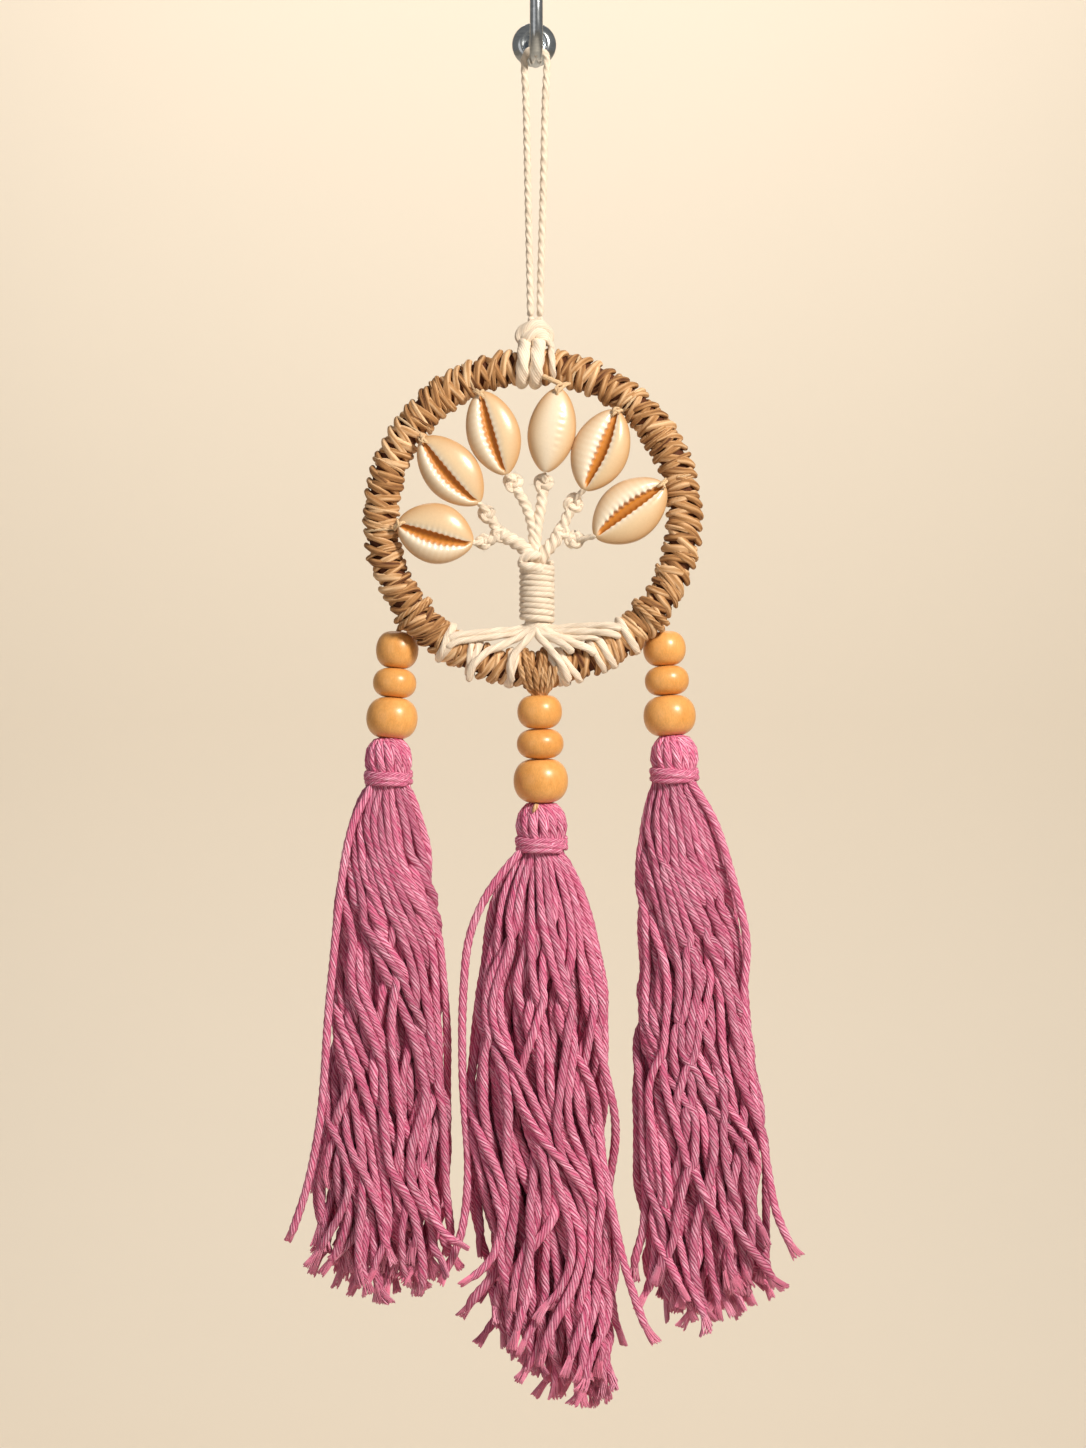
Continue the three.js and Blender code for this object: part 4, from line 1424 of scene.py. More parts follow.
@dataclass
class Shells:
    """The six cowries and their lashings."""

    shop: Workshop
    places: tuple[ShellPlace, ...] = (
        ShellPlace((-17.5, -7.7), (-39.4, -1.9), 17.6, -5.1, False, 2.0, -0.16, -0.05),
        ShellPlace((-15.7, 4.1), (-32.3, 22.8), 15.8, -4.6, False, -1.5, -0.20, -0.08),
        ShellPlace((-7.8, 12.5), (-15.2, 36.5), 15.4, -4.6, False, 2.0, -0.12, -0.06),
        ShellPlace((3.65, 13.2), (7.7, 37.5), 14.1, -4.8, True, -4.5),
        ShellPlace((15.2, 7.9), (24.6, 31.0), 16.5, -5.1, False, -2.0, -0.02, 0.06),
        ShellPlace((18.4, -5.8), (38.4, 9.4), 17.4, -4.6, False, 1.5, -0.04, -0.08),
    )
    rows: int = 120
    columns: tuple[float, ...] = (
        0.0, 0.035, 0.07, 0.095, 0.115, 0.14, 0.175, 0.22, 0.28,
        0.36, 0.46, 0.57, 0.68, 0.78, 0.865, 0.93, 0.975,
    )
    teeth: int = 13
    slit_edge: float = 0.115
    tie_strand: float = 0.5
    tie_bedded: float = 4.35
    tie_front: float = 5.0
    bar: Route = ((2.7, -5.4, 41.3), (5.8, -6.2, 39.9), (8.8, -5.6, 38.6))

    def across(self) -> tuple[Points, Points]:
        """Where the section's points stand.

        Returns:
            The place of each from -1 to 1 across, and its side: 1 in front or -1 behind.
        """
        front = np.array([-v for v in self.columns[::-1]] + list(self.columns[1:]))
        back = np.cos(np.linspace(0.0, math.pi, 25))
        side = np.concatenate((np.ones(len(front)), -np.ones(len(back))))
        return np.concatenate((front, back)), side

    def outline(self, rise: Points) -> Points:
        """Half the shell's width at each place from its inner tip, as a share of the most."""
        body = np.sin(np.clip(rise * 0.98 + 0.01, 0, 1) ** 0.96 * math.pi)
        return np.clip(body, 0.0, 1.0) ** np.where(rise < 0.5, 0.62, 0.53)

    def shape(self, place: ShellPlace) -> tuple[Points, list[list[int]], dict[str, Points]]:
        """The shell's surface.

        Args:
            place: The shell's place.

        Returns:
            Its points in its own frame (across, towards the front, along), its faces, and what
            each point carries.
        """
        half = place.width / 2
        rise = 0.5 - 0.5 * np.cos(np.linspace(0.02, math.pi - 0.02, self.rows))
        spot, side = self.across()
        count = len(spot)
        u, v = np.meshgrid(spot, rise)
        sides = np.broadcast_to(side, u.shape)
        wide = self.outline(v)
        hump = 1.0 - 0.12 * (v - 0.5)
        front = sides > 0
        bow = np.sqrt(np.clip(1.0 - np.abs(u) ** 2.3, 0.0, 1.0))
        height = np.where(front, 0.46 * bow, -0.62 * np.sqrt(np.clip(1.0 - u * u, 0.0, 1.0)) * hump)
        x = u * wide
        z = height * wide
        lip = np.zeros_like(u)
        depth = np.zeros_like(u)
        if not place.shows_back:
            middle = place.slit + place.slit_bend * np.sin(v * math.pi) + 0.05 * (v - 0.5)
            reach = smoothstep(v, 0.0, 0.10) * smoothstep(1.0 - v, -0.04, 0.06)
            gap = 0.165 + 0.05 * np.sin(v * math.pi) + 0.03 * v
            local = u / self.slit_edge
            inside = front & (np.abs(u) < 0.1)
            tooth = (0.5 + 0.5 * np.cos(v * TURN * self.teeth + np.where(u > 0, 1.2, 0.0))) ** 1.4
            tooth = tooth * smoothstep(v, 0.08, 0.2) * smoothstep(1.0 - v, 0.05, 0.16)
            away = np.clip(np.abs(u) - self.slit_edge, 0.0, 1.0)
            fade = np.exp(-away / np.where(u < 0, 0.11, 0.08))
            spread = np.where(front, (1.0 - np.abs(u)) ** 1.2, 0.0)
            shift = middle * reach * spread
            opened = gap / self.slit_edge
            narrow = np.where(np.abs(u) <= 0.12, opened, 1.0 + (opened - 1.0) * np.exp(-away / 0.2))
            x = (u * narrow + shift) * wide
            bite = np.where(u < 0, 0.060, 0.030) * tooth * np.exp(-away / 0.05) * (front & (np.abs(u) > 0.06))
            x = x - np.sign(u) * bite * wide * reach
            curl = np.where(front, np.exp(-(away / 0.09)), 0.0) * 0.11
            relief = np.where(u < 0, 0.034, 0.012) * tooth * fade
            z = z + (np.where(front & ~inside, relief, 0.0) - curl * reach) * wide
            floor = np.where(inside, 0.20 * (1.0 - np.clip(np.abs(local), 0, 1) ** 3.0), 0.0)
            z = z - floor * reach * wide
            lip = np.where(front & (u < 0), np.exp(-away / 0.42), np.where(front, np.exp(-away / 0.06), 0.0))
            lip = np.clip(lip * (0.85 + 0.3 * tooth), 0.0, 1.0) * reach
            # The slit value rises across the floor towards one lip, where the finish's deep brown is partly
            # painted shade.
            depth = np.where(inside, 0.62 + 0.34 * np.clip(local, -1.0, 1.0), 0.0) * reach
        else:
            ribs = 0.012 * np.cos(v * TURN * 12) * np.exp(-(((u - 0.32) / 0.14) ** 2)) * front
            z = np.where(front, 0.62 * np.sqrt(np.clip(1.0 - u * u, 0.0, 1.0)) * hump, -0.42 * bow) * wide
            z = z + ribs * wide * smoothstep(v, 0.15, 0.3) * smoothstep(1.0 - v, 0.15, 0.3)
            lip = 0.6 * np.exp(-(((u + 0.05) / 0.55) ** 2)) * front
        # The side value, the peach share, grows towards the sides and tips and is partly painted shade;
        # behind, it is fixed.
        edge = np.clip(np.abs(u) ** 2.2 * 1.05 + (np.abs(v - 0.5) * 2.0) ** 3.0 * 0.5, 0.0, 1.0)
        edge = np.where(front, edge, 0.65)
        length = math.dist(place.inner, place.outer)
        points = np.column_stack((x.ravel() * half, z.ravel() * half, (v * length).ravel()))
        ends = np.array([(points[:count, k].mean(), points[-count:, k].mean()) for k in range(3)]).T
        carried = {"lip": with_ends(lip), "side": with_ends(edge), "slit": with_ends(depth)}
        return np.vstack((points, ends)), capped_rings(self.rows, count), carried

    def shell(self, number: int, place: ShellPlace) -> None:
        """Makes one shell.

        Args:
            number: The shell's number, clockwise from the left.
            place: The shell's place.
        """
        points, faces, carried = self.shape(place)
        inner = in_hoop(place.inner[0], place.front, place.inner[1])
        along = in_hoop(place.outer[0], place.front, place.outer[1]) - inner
        along /= np.linalg.norm(along)
        placed = inner + points @ np.vstack((np.cross(along, FRONT), FRONT, along))
        piece = plain_piece(f"cowrie_{number}", placed, faces, self.shop.finishes[Slot.SHELL])
        for key, values in carried.items():
            carry(piece, key, values)
        outward(piece)
        self.shop.join(piece, Slot.SHELL, f"shell_{number}")

    def tie(self, number: int, place: ShellPlace) -> None:
        """Lashes one shell to the hoop.

        Args:
            number: The shell's number.
            place: The shell's place.
        """
        angle = math.degrees(math.atan2(place.outer[1], place.outer[0])) + place.tie_turn
        middle = TUBE_REACH + GAP + self.tie_strand
        out = HOOP_RADIUS - math.sqrt(middle**2 - self.tie_front**2)
        start = math.radians(angle)
        leave = in_hoop(out * math.cos(start), -self.tie_front, out * math.sin(start))
        tip = in_hoop(place.outer[0], place.front - 2.4, place.outer[1])
        away = np.array((math.cos(start), 0.0, math.sin(start)))
        beside = np.array((-away[2], 0.0, away[0]))
        chains = Chains()
        turn, direction = round_hoop(angle, 0.0, self.tie_strand, self.tie_bedded)
        chains.add(turn, 0.8, 0.3, direction, True)
        if place.shows_back:
            chains.tapered(hoop_line(self.bar, 0.4), 1.5, 0.4, 0.5)
        over = [leave, 0.5 * (leave + tip) + (0, -0.4, 0), tip - 1.2 * away, tip - 2.4 * away + BACK]
        chains.tapered(flowing(over), 0.95, 0.7, 0.6)
        second = [leave + 0.8 * beside, tip + 0.9 * beside, tip - 1.5 * away + 0.3 * beside]
        chains.tapered(flowing(second), 0.75, 0.5, 0.6)
        saddle = [
            tip + 1.3 * beside + BACK,
            tip + 0.5 * beside - 0.3 * away,
            tip - 0.5 * beside,
            tip - 1.3 * beside + BACK,
        ]
        chains.tapered(flowing(saddle), 0.8, 0.6, 0.6)
        section = Section(self.tie_strand, plies=2, ridge=0.12, lay=4.0, step=0.35, facets=8)
        node = f"shell_tie_{number}"
        self.shop.spin(f"shell_lashing_{number}", chains, section, Slot.COTTON, node, finish=self.shop.thread)

    def build(self) -> None:
        """Makes the shells and ties them on."""
        for number, place in enumerate(self.places, 1):
            self.shell(number, place)
            self.tie(number, place)


# The cotton tree


@dataclass
class Tree:
    """Trunk, branches, knots and roots of cotton, from the hoop's middle.

    A branch or root has its radius and its route, and a knot its place, half its width and its
    turn in degrees.
    """

    shop: Workshop
    trunk_x: float = 1.3
    trunk_top: float = -12.4
    trunk_foot: float = -31.4
    trunk_radius: float = 5.3
    trunk_turns: float = 10.4
    whipping: float = 0.98
    bedded: float = 4.0
    fibres: int = 13
    fibre: float = 0.045
    branches: tuple[tuple[float, Route], ...] = (
        (1.35, ((1.0, -0.4, -13), (0.9, -0.4, -9), (1.3, -0.6, -3.2), (2.5, -0.8, 3.5), (3.1, -0.8, 9))),
        (1.3, ((-0.4, -0.6, -13), (0.2, -0.6, -4.6), (-1.6, -0.8, 2.6), (-4.0, -1, 7.2), (-5.6, -1, 9.8))),
        (1.75, ((1.0, -0.4, -13.6), (-0.7, -0.8, -10.6), (-4.3, -1.2, -7.7), (-7.9, -1, -5.6),
                (-9.9, -1, -4.6))),
        (1.3, ((-9.8, -1, -4.9), (-11.6, -1, -1.4), (-13.2, -1, 0.8))),
        (1.3, ((-9.6, -1, -5), (-11.8, -1, -6.4), (-14.2, -1, -7))),
        (1.7, ((1.7, -0.3, -13.6), (3.5, -0.7, -10.4), (6.3, -1, -7), (8.4, -1, -3.8))),
        (1.35, ((8.4, -1, -3.9), (9.4, -1.2, -1.2), (10.8, -1.2, 1.6), (12, -1.2, 3.6))),
        (1.3, ((8.2, -1, -3.9), (10, -1, -5.4), (12.2, -1, -6.4), (15.8, -1, -6))),
    )
    knots: tuple[tuple[float, float, float, float, float], ...] = (
        (3.1, -0.8, 10.1, 2.8, 10), (-5.8, -1, 10.3, 2.8, 30), (-9.8, -1, -4.9, 2.4, 60),
        (-13.5, -1, 1.1, 2.5, 40), (-14.6, -1, -7.1, 2.2, 80), (8.5, -1, -3.9, 2.3, -40),
        (12, -1.2, 4.2, 2.8, -30), (12.1, -1, -6.5, 2.6, 80),
    )
    stems: tuple[Route, ...] = (
        ((-14.2, -1.4, -7.0), (-16.0, -3.4, -7.4), (-18.2, -5.6, -7.6)),
        ((-13.2, -1.4, 1.2), (-14.6, -3.2, 3.0), (-16.4, -5.2, 4.8)),
        ((-5.8, -1.6, 10.2), (-6.8, -3.2, 11.8), (-8.1, -4.8, 13.6)),
        ((3.1, -1.6, 10.1), (3.3, -2.8, 11.8), (3.7, -3.8, 13.2)),
        ((12.0, -1.8, 4.4), (13.4, -3.4, 6.2), (15.6, -5.4, 8.8)),
        ((12.2, -1.6, -6.4), (15.6, -3.0, -6.1), (19.0, -5.2, -5.4)),
    )
    collar: Route = (
        (2.6, -3.2, -11.4), (0.4, -4.3, -11.2), (-2.2, -3.9, -11.9), (-3.2, -2.9, -13.3),
        (-2.0, -4.2, -14.4), (0.6, -4.7, -14.8), (3.4, -3.6, -15.0),
    )
    roots: tuple[tuple[float, Route], ...] = (
        (1.0, ((-2.6, -1.5, -32.5), (-13, -3.6, -33.6), (-22.4, -5.2, -34.8), (-25.2, -5.0, -36.2))),
        (0.9, ((-2.4, -2.0, -33.5), (-13, -4.0, -35.2), (-22.2, -5.6, -36.6), (-25.4, -5.2, -38.4))),
        (1.05, ((-3.1, -3.0, -34.6), (-8.1, -4.9, -37.2), (-13.1, -6.2, -39.4), (-17.0, -6.7, -42.9),
                (-18.4, -5.4, -46.2), (-18.6, -3.4, -48.0))),
        (1.0, ((-0.4, -3.4, -34.4), (-3.1, -5.0, -37.5), (-5.6, -6.4, -40.9), (-6.6, -6.6, -43.4),
               (-6.3, -5.4, -46.6), (-6.2, -3.4, -48.4))),
        (1.05, ((2.4, -3.0, -34.1), (6.2, -4.9, -35.8), (9.7, -6.0, -37.9), (12.2, -5.4, -39.8))),
        (1.0, ((1.6, -3.4, -34.6), (3.6, -4.9, -37.0), (6.5, -6.3, -40.2), (9.2, -6.4, -44.4),
               (10.3, -5.0, -46.8), (10.7, -3.2, -48.2))),
        (1.05, ((3.6, -2.4, -33.4), (10.0, -4.6, -35.9), (16.5, -6.0, -38.8), (18.6, -5.2, -40.6))),
        (0.8, ((8.0, -2.6, -34.6), (12.4, -3.4, -35.4), (17.0, -4.2, -35.2), (20.0, -4.4, -36.0))),
        (1.0, ((2.8, -1.4, -32.2), (14, -3.0, -32.0), (22.0, -4.8, -31.8), (26.4, -4.8, -32.8))),
        (0.95, ((3.4, -1.9, -33.2), (14, -3.6, -33.4), (21.8, -5.2, -33.9), (26.2, -5.0, -35.2))),
    )
    root_turns: tuple[Turn, ...] = (
        (-124.8, 12, 1.1), (-122.6, -6, 0.9), (-112.3, 6, 1.05), (-114.2, 18, 0.95), (-98.4, 6, 1.0),
        (-97.2, -15, 0.9), (-80.9, 25, 1.0), (-76.2, 23, 1.0), (-79.4, -10, 0.85), (-65.2, 4, 0.95),
        (-61.4, 3, 1.05), (-51.2, -8, 1.15),
    )

    def rope(self, chains: Chains, radius: float, spots: Sequence[Place], tone: float) -> None:
        """Adds one rope of the tree."""
        chains.tapered(hoop_line(spots), radius, tone, 0.8)

    def crown(self) -> None:
        """Makes the branches and their knots."""
        rng = np.random.default_rng(5)
        chains = Chains()
        for radius, spots in self.branches:
            self.rope(chains, radius * 1.1, spots, rng.uniform(0.4, 0.8))
        for x, y, z, half, turn in self.knots:
            run = overhand(in_hoop(x, y, z), half - 0.7, turn, 0.75)
            chains.add(run, 1.05, rng.uniform(0.4, 0.8), None, True)
        for spots in self.stems:
            self.rope(chains, 0.8, spots, rng.uniform(0.4, 0.8))
        self.rope(chains, 1.35, self.collar, 0.6)
        section = Section(1.0, plies=3, ridge=0.16, lay=8.0, step=0.5, facets=15, uneven=0.07)
        self.shop.spin("tree_branches", chains, section, Slot.COTTON)

    def foot(self) -> None:
        """Makes the roots, their turns round the hoop and the hub under the trunk."""
        rng = np.random.default_rng(6)
        chains = Chains()
        for radius, spots in self.roots:
            side = math.copysign(1.0, spots[-1][0] - self.trunk_x)
            rise = (self.trunk_x - side * rng.uniform(0.0, 1.6), -3.0, self.trunk_foot + 0.6)
            self.rope(chains, radius, (rise, *spots), rng.uniform(0.4, 0.8))
        for angle, lean, strand in self.root_turns:
            turn, out = round_hoop(angle, lean, strand, self.bedded)
            chains.add(turn, strand, rng.uniform(0.5, 0.9), out, True)
        hub = in_hoop(self.trunk_x, 0, self.trunk_foot - 0.6)
        ring = np.arange(24) * TURN / 24
        for tilt, half in ((1.1, 3.2), (-1.1, 2.8)):
            spread = [(half * math.cos(a), half * math.sin(a), tilt * math.cos(a)) for a in ring]
            chains.add(hub + np.array(spread) - (0, 0, 0.3), 1.0, 0.5, None, True)
        section = Section(1.0, plies=3, ridge=0.12, lay=20.0, step=0.6, facets=12, flat=1.12, uneven=0.08)
        self.shop.spin("tree_roots", chains, section, Slot.COTTON, "tree_cords")

    def trunk(self) -> None:
        """Winds the whipping round the trunk."""
        wound = self.trunk_turns * TURN
        turn = np.linspace(0.0, wound, 480)
        rng = np.random.default_rng(9)
        sway = np.interp(turn, np.linspace(0, wound, 24), rng.normal(0, 0.13, 24))
        reach = self.trunk_radius - self.whipping
        height = np.linspace(self.trunk_top - 0.75, self.trunk_foot + 0.9, len(turn)) + sway
        coil = np.column_stack((reach * np.cos(turn), reach * np.sin(turn), height))
        line = in_hoop(self.trunk_x, 0, 0) + coil
        chains = Chains()
        chains.tapered(line, 1.0, 0.6)
        heights = np.linspace(self.trunk_foot - 1.4, self.trunk_top - 0.2, 12)
        core = [in_hoop(self.trunk_x, 0, z) for z in heights]
        chains.tapered(np.array(core), 3.6 / self.whipping, 0.4, 1.5)
        section = Section(self.whipping, plies=2, ridge=0.05, lay=7.0, step=0.6, facets=10, uneven=0.04)
        self.shop.spin("trunk_whipping", chains, section, Slot.COTTON, "trunk_wrap")

    def fluff(self) -> None:
        """Lets fine fibres stray from the knots and from the hub under the trunk."""
        rng = np.random.default_rng(8)
        chains = Chains()
        share = np.linspace(0.0, 1.0, 5)[:, None]
        lumps = [knot[:4] for knot in self.knots] + [(self.trunk_x, 0, self.trunk_foot - 1.5, 3.8)]
        for x, y, z, half in lumps:
            for _ in range(self.fibres):
                way = rng.normal(0, (1.0, 0.5, 1.0))
                way /= np.linalg.norm(way)
                bend = 1.1 * np.cross(way, rng.normal(0, 1.0, 3))
                reach = half - 0.9 + rng.uniform(0.9, 2.4) * share
                line = in_hoop(x, y, z) + way * reach + bend * share**2
                chains.add(line, np.array((0.0, 1.0, 0.9, 0.7, 0.0)), 1.0)
        section = Section(self.fibre, plies=0, ridge=0.0, lay=0.0, step=0.0, facets=3)
        self.shop.spin("cotton_fibres", chains, section, Slot.COTTON)

    def build(self) -> None:
        """Builds the tree."""
        self.trunk()
        self.crown()
        self.foot()
        self.fluff()


# Beads


@dataclass(frozen=True)
class Column:
    """A column of three beads on its cord.

    A turn round the hoop has its angle and its lean, and a bead its middle's Z, its width and
    its height.
    """

    name: str
    turns: tuple[tuple[float, float], ...]
    start: Place
    head: Place
    foot: Place
    beads: tuple[tuple[float, float, float], ...]


@dataclass
class Beads:
    """The nine beads and the cords that they hang on."""

    shop: Workshop
    bore: float = 1.3
    cord: float = 0.75
    bedded: float = 5.0
    squeeze: float = 0.12
    turn_shifts: tuple[float, ...] = (-0.8, 0.8)
    hitches: tuple[tuple[float, float], ...] = (
        (-5.2, -6.2), (-3.1, -6.6), (-1.0, -6.7), (1.3, -6.6), (3.6, -6.4), (5.4, -6.1),
    )
    columns: tuple[Column, ...] = (
        Column(
            "left", ((-141.5, 0),), (-39.1, -13, -173.3), (-40.0, -12.0, -175.2), (-42.4, -13.9, -207.2),
            ((-181.3, 12.6, 10.6), (-191.1, 12.9, 8.4), (-201.5, 15.2, 11.8)),
        ),
        Column(
            "middle", ((-91.0, 16), (-86.3, -8)), (1.55, -18.05, -193.2), (1.6, -18, -194.6),
            (2.1, -16.8, -226.4), ((-199.6, 13.2, 9.6), (-209.0, 13.8, 8.5), (-219.9, 16.1, 12.6)),
        ),
        Column(
            "right", ((-39.5, 0),), (37.7, -12.6, -173.4), (38.1, -11.9, -175.0), (40.5, -13.9, -206.6),
            ((-180.95, 12.7, 9.9), (-190.4, 13.1, 8.4), (-200.8, 15.5, 11.6)),
        ),
    )

    def profile(self, width: float, tall: float) -> list[tuple[float, float]]:
        """The bead's outline: round sides, flat ends and an eased bore.

        Args:
            width: Its width.
            tall: Its height.

        Returns:
            The closed outline, upwards on the outside.
        """
        half, reach = tall / 2, width / 2
        rows = [(self.bore + 0.35, -half)]
        for angle in np.linspace(-math.pi / 2, math.pi / 2, 29):
            out = abs(math.cos(angle)) ** 0.90
            up = math.copysign(abs(math.sin(angle)) ** 0.95, angle)
            rows.append((0.30 * reach + 0.70 * reach * out, half * up))
        rows += [(self.bore + 0.35, half), (self.bore + 0.08, half - 0.12), (self.bore, half - 0.5)]
        rows += [(self.bore, -half + 0.5), (self.bore + 0.08, -half + 0.12)]
        return rows

    def bead(self, column: Column, number: int, rng: np.random.Generator) -> None:
        """Turns one bead and sets it on its cord.

        Args:
            column: The column that it is in.
            number: Its number from the top.
            rng: The source of its grain's place.
        """
        z, width, tall = column.beads[number - 1]
        head = np.array(column.head, dtype=float)
        run = np.array(column.foot, dtype=float) - head
        middle = head + run * ((z - head[2]) / run[2])
        up = -run / np.linalg.norm(run)
        side = np.cross(BACK, up)
        side /= np.linalg.norm(side)
        axes = np.vstack((side, np.cross(up, side), up))
        piece = turned_piece(
            f"wood_bead_{column.name}_{number}",
            self.profile(width, tall + 2 * self.squeeze),
            56,
            lambda p: middle + p @ axes,
            self.shop.finishes[Slot.WOOD],
        )
        outward(piece)
        place = np.empty(len(piece.data.vertices) * 3)
        piece.data.vertices.foreach_get("co", place)
        local = (place.reshape(-1, 3) / MM - middle) @ axes.T
        angle = rng.uniform(0, TURN)
        x, y, z = local.T
        x, y = x * math.cos(angle) - y * math.sin(angle), x * math.sin(angle) + y * math.cos(angle)
        spun = np.column_stack((x, y, z))
        carry(piece, "grain", (spun + rng.uniform(40, 400, 3)) * MM)
        self.shop.join(piece, Slot.WOOD, f"bead_{column.name}_{number}")

    def strings(self, column: Column) -> None:
        """Makes a column's cord: its turns round the hoop, and its run through the beads.

        Args:
            column: The column.
        """
        rng = np.random.default_rng(len(column.name))
        chains = Chains()
        for angle, lean in column.turns:
            for shift in self.turn_shifts:
                place = angle + math.degrees(shift / HOOP_RADIUS)
                turn, out = round_hoop(place, lean + 4 * shift, self.cord, self.bedded)
                chains.add(turn, 1.0, rng.uniform(0.2, 0.7), out, True)
        head, foot = np.array(column.head, dtype=float), np.array(column.foot, dtype=float)
        chains.tapered(flowing([column.start, head, head + 0.08 * (foot - head), foot]), 1.0, 0.6)
        if column.name == "middle":
            for x, y in self.hitches:
                top = in_hoop(x + 1.6, y, -44.0 + 0.15 * abs(x))
                low = np.array((1.6 + 0.28 * x, -18.0 - 1.7 + 0.12 * abs(x), -194.7))
                bend = 0.45 * top + 0.55 * low + (0.12 * x, -0.6, -0.6)
                end = low + (-0.12 * x, 1.0, -1.6)
                chains.tapered(flowing([top, bend, low, end]), rng.uniform(0.75, 1.1), rng.uniform(0.3, 1.0))
            tail = [foot + (-0.8, -3.6, -0.3), foot + (-1.7, -5.2, -1.1), foot + (-2.4, -6.1, -2.9)]
            chains.tapered(flowing(tail), 0.9, 1.0)
        section = Section(self.cord, plies=3, ridge=0.16, lay=9.0, step=0.5, facets=9, uneven=0.05)
        node = f"bead_cord_{column.name}"
        self.shop.spin(f"bead_string_{column.name}", chains, section, Slot.RAFFIA, node)

    def build(self) -> None:
        """Strings the beads."""
        rng = np.random.default_rng(21)
        for column in self.columns:
            for number in range(1, len(column.beads) + 1):
                self.bead(column, number, rng)
            self.strings(column)


# Tassels


@dataclass(frozen=True)
class TasselPlace:
    """Where a tassel hangs, and its skirt by drops below the band.

    The hem gives the drop at places across, the skirt its left and right edge at each drop, and
    a stray its drop, X and Y.
    """

    name: str
    x: float
    y: float
    head_top: float
    head_foot: float
    width: float
    swirl: float
    hem: tuple[tuple[float, float], ...]
    skirt: tuple[tuple[float, float, float], ...]
    seed: int
    strays: tuple[Route, ...] = ()


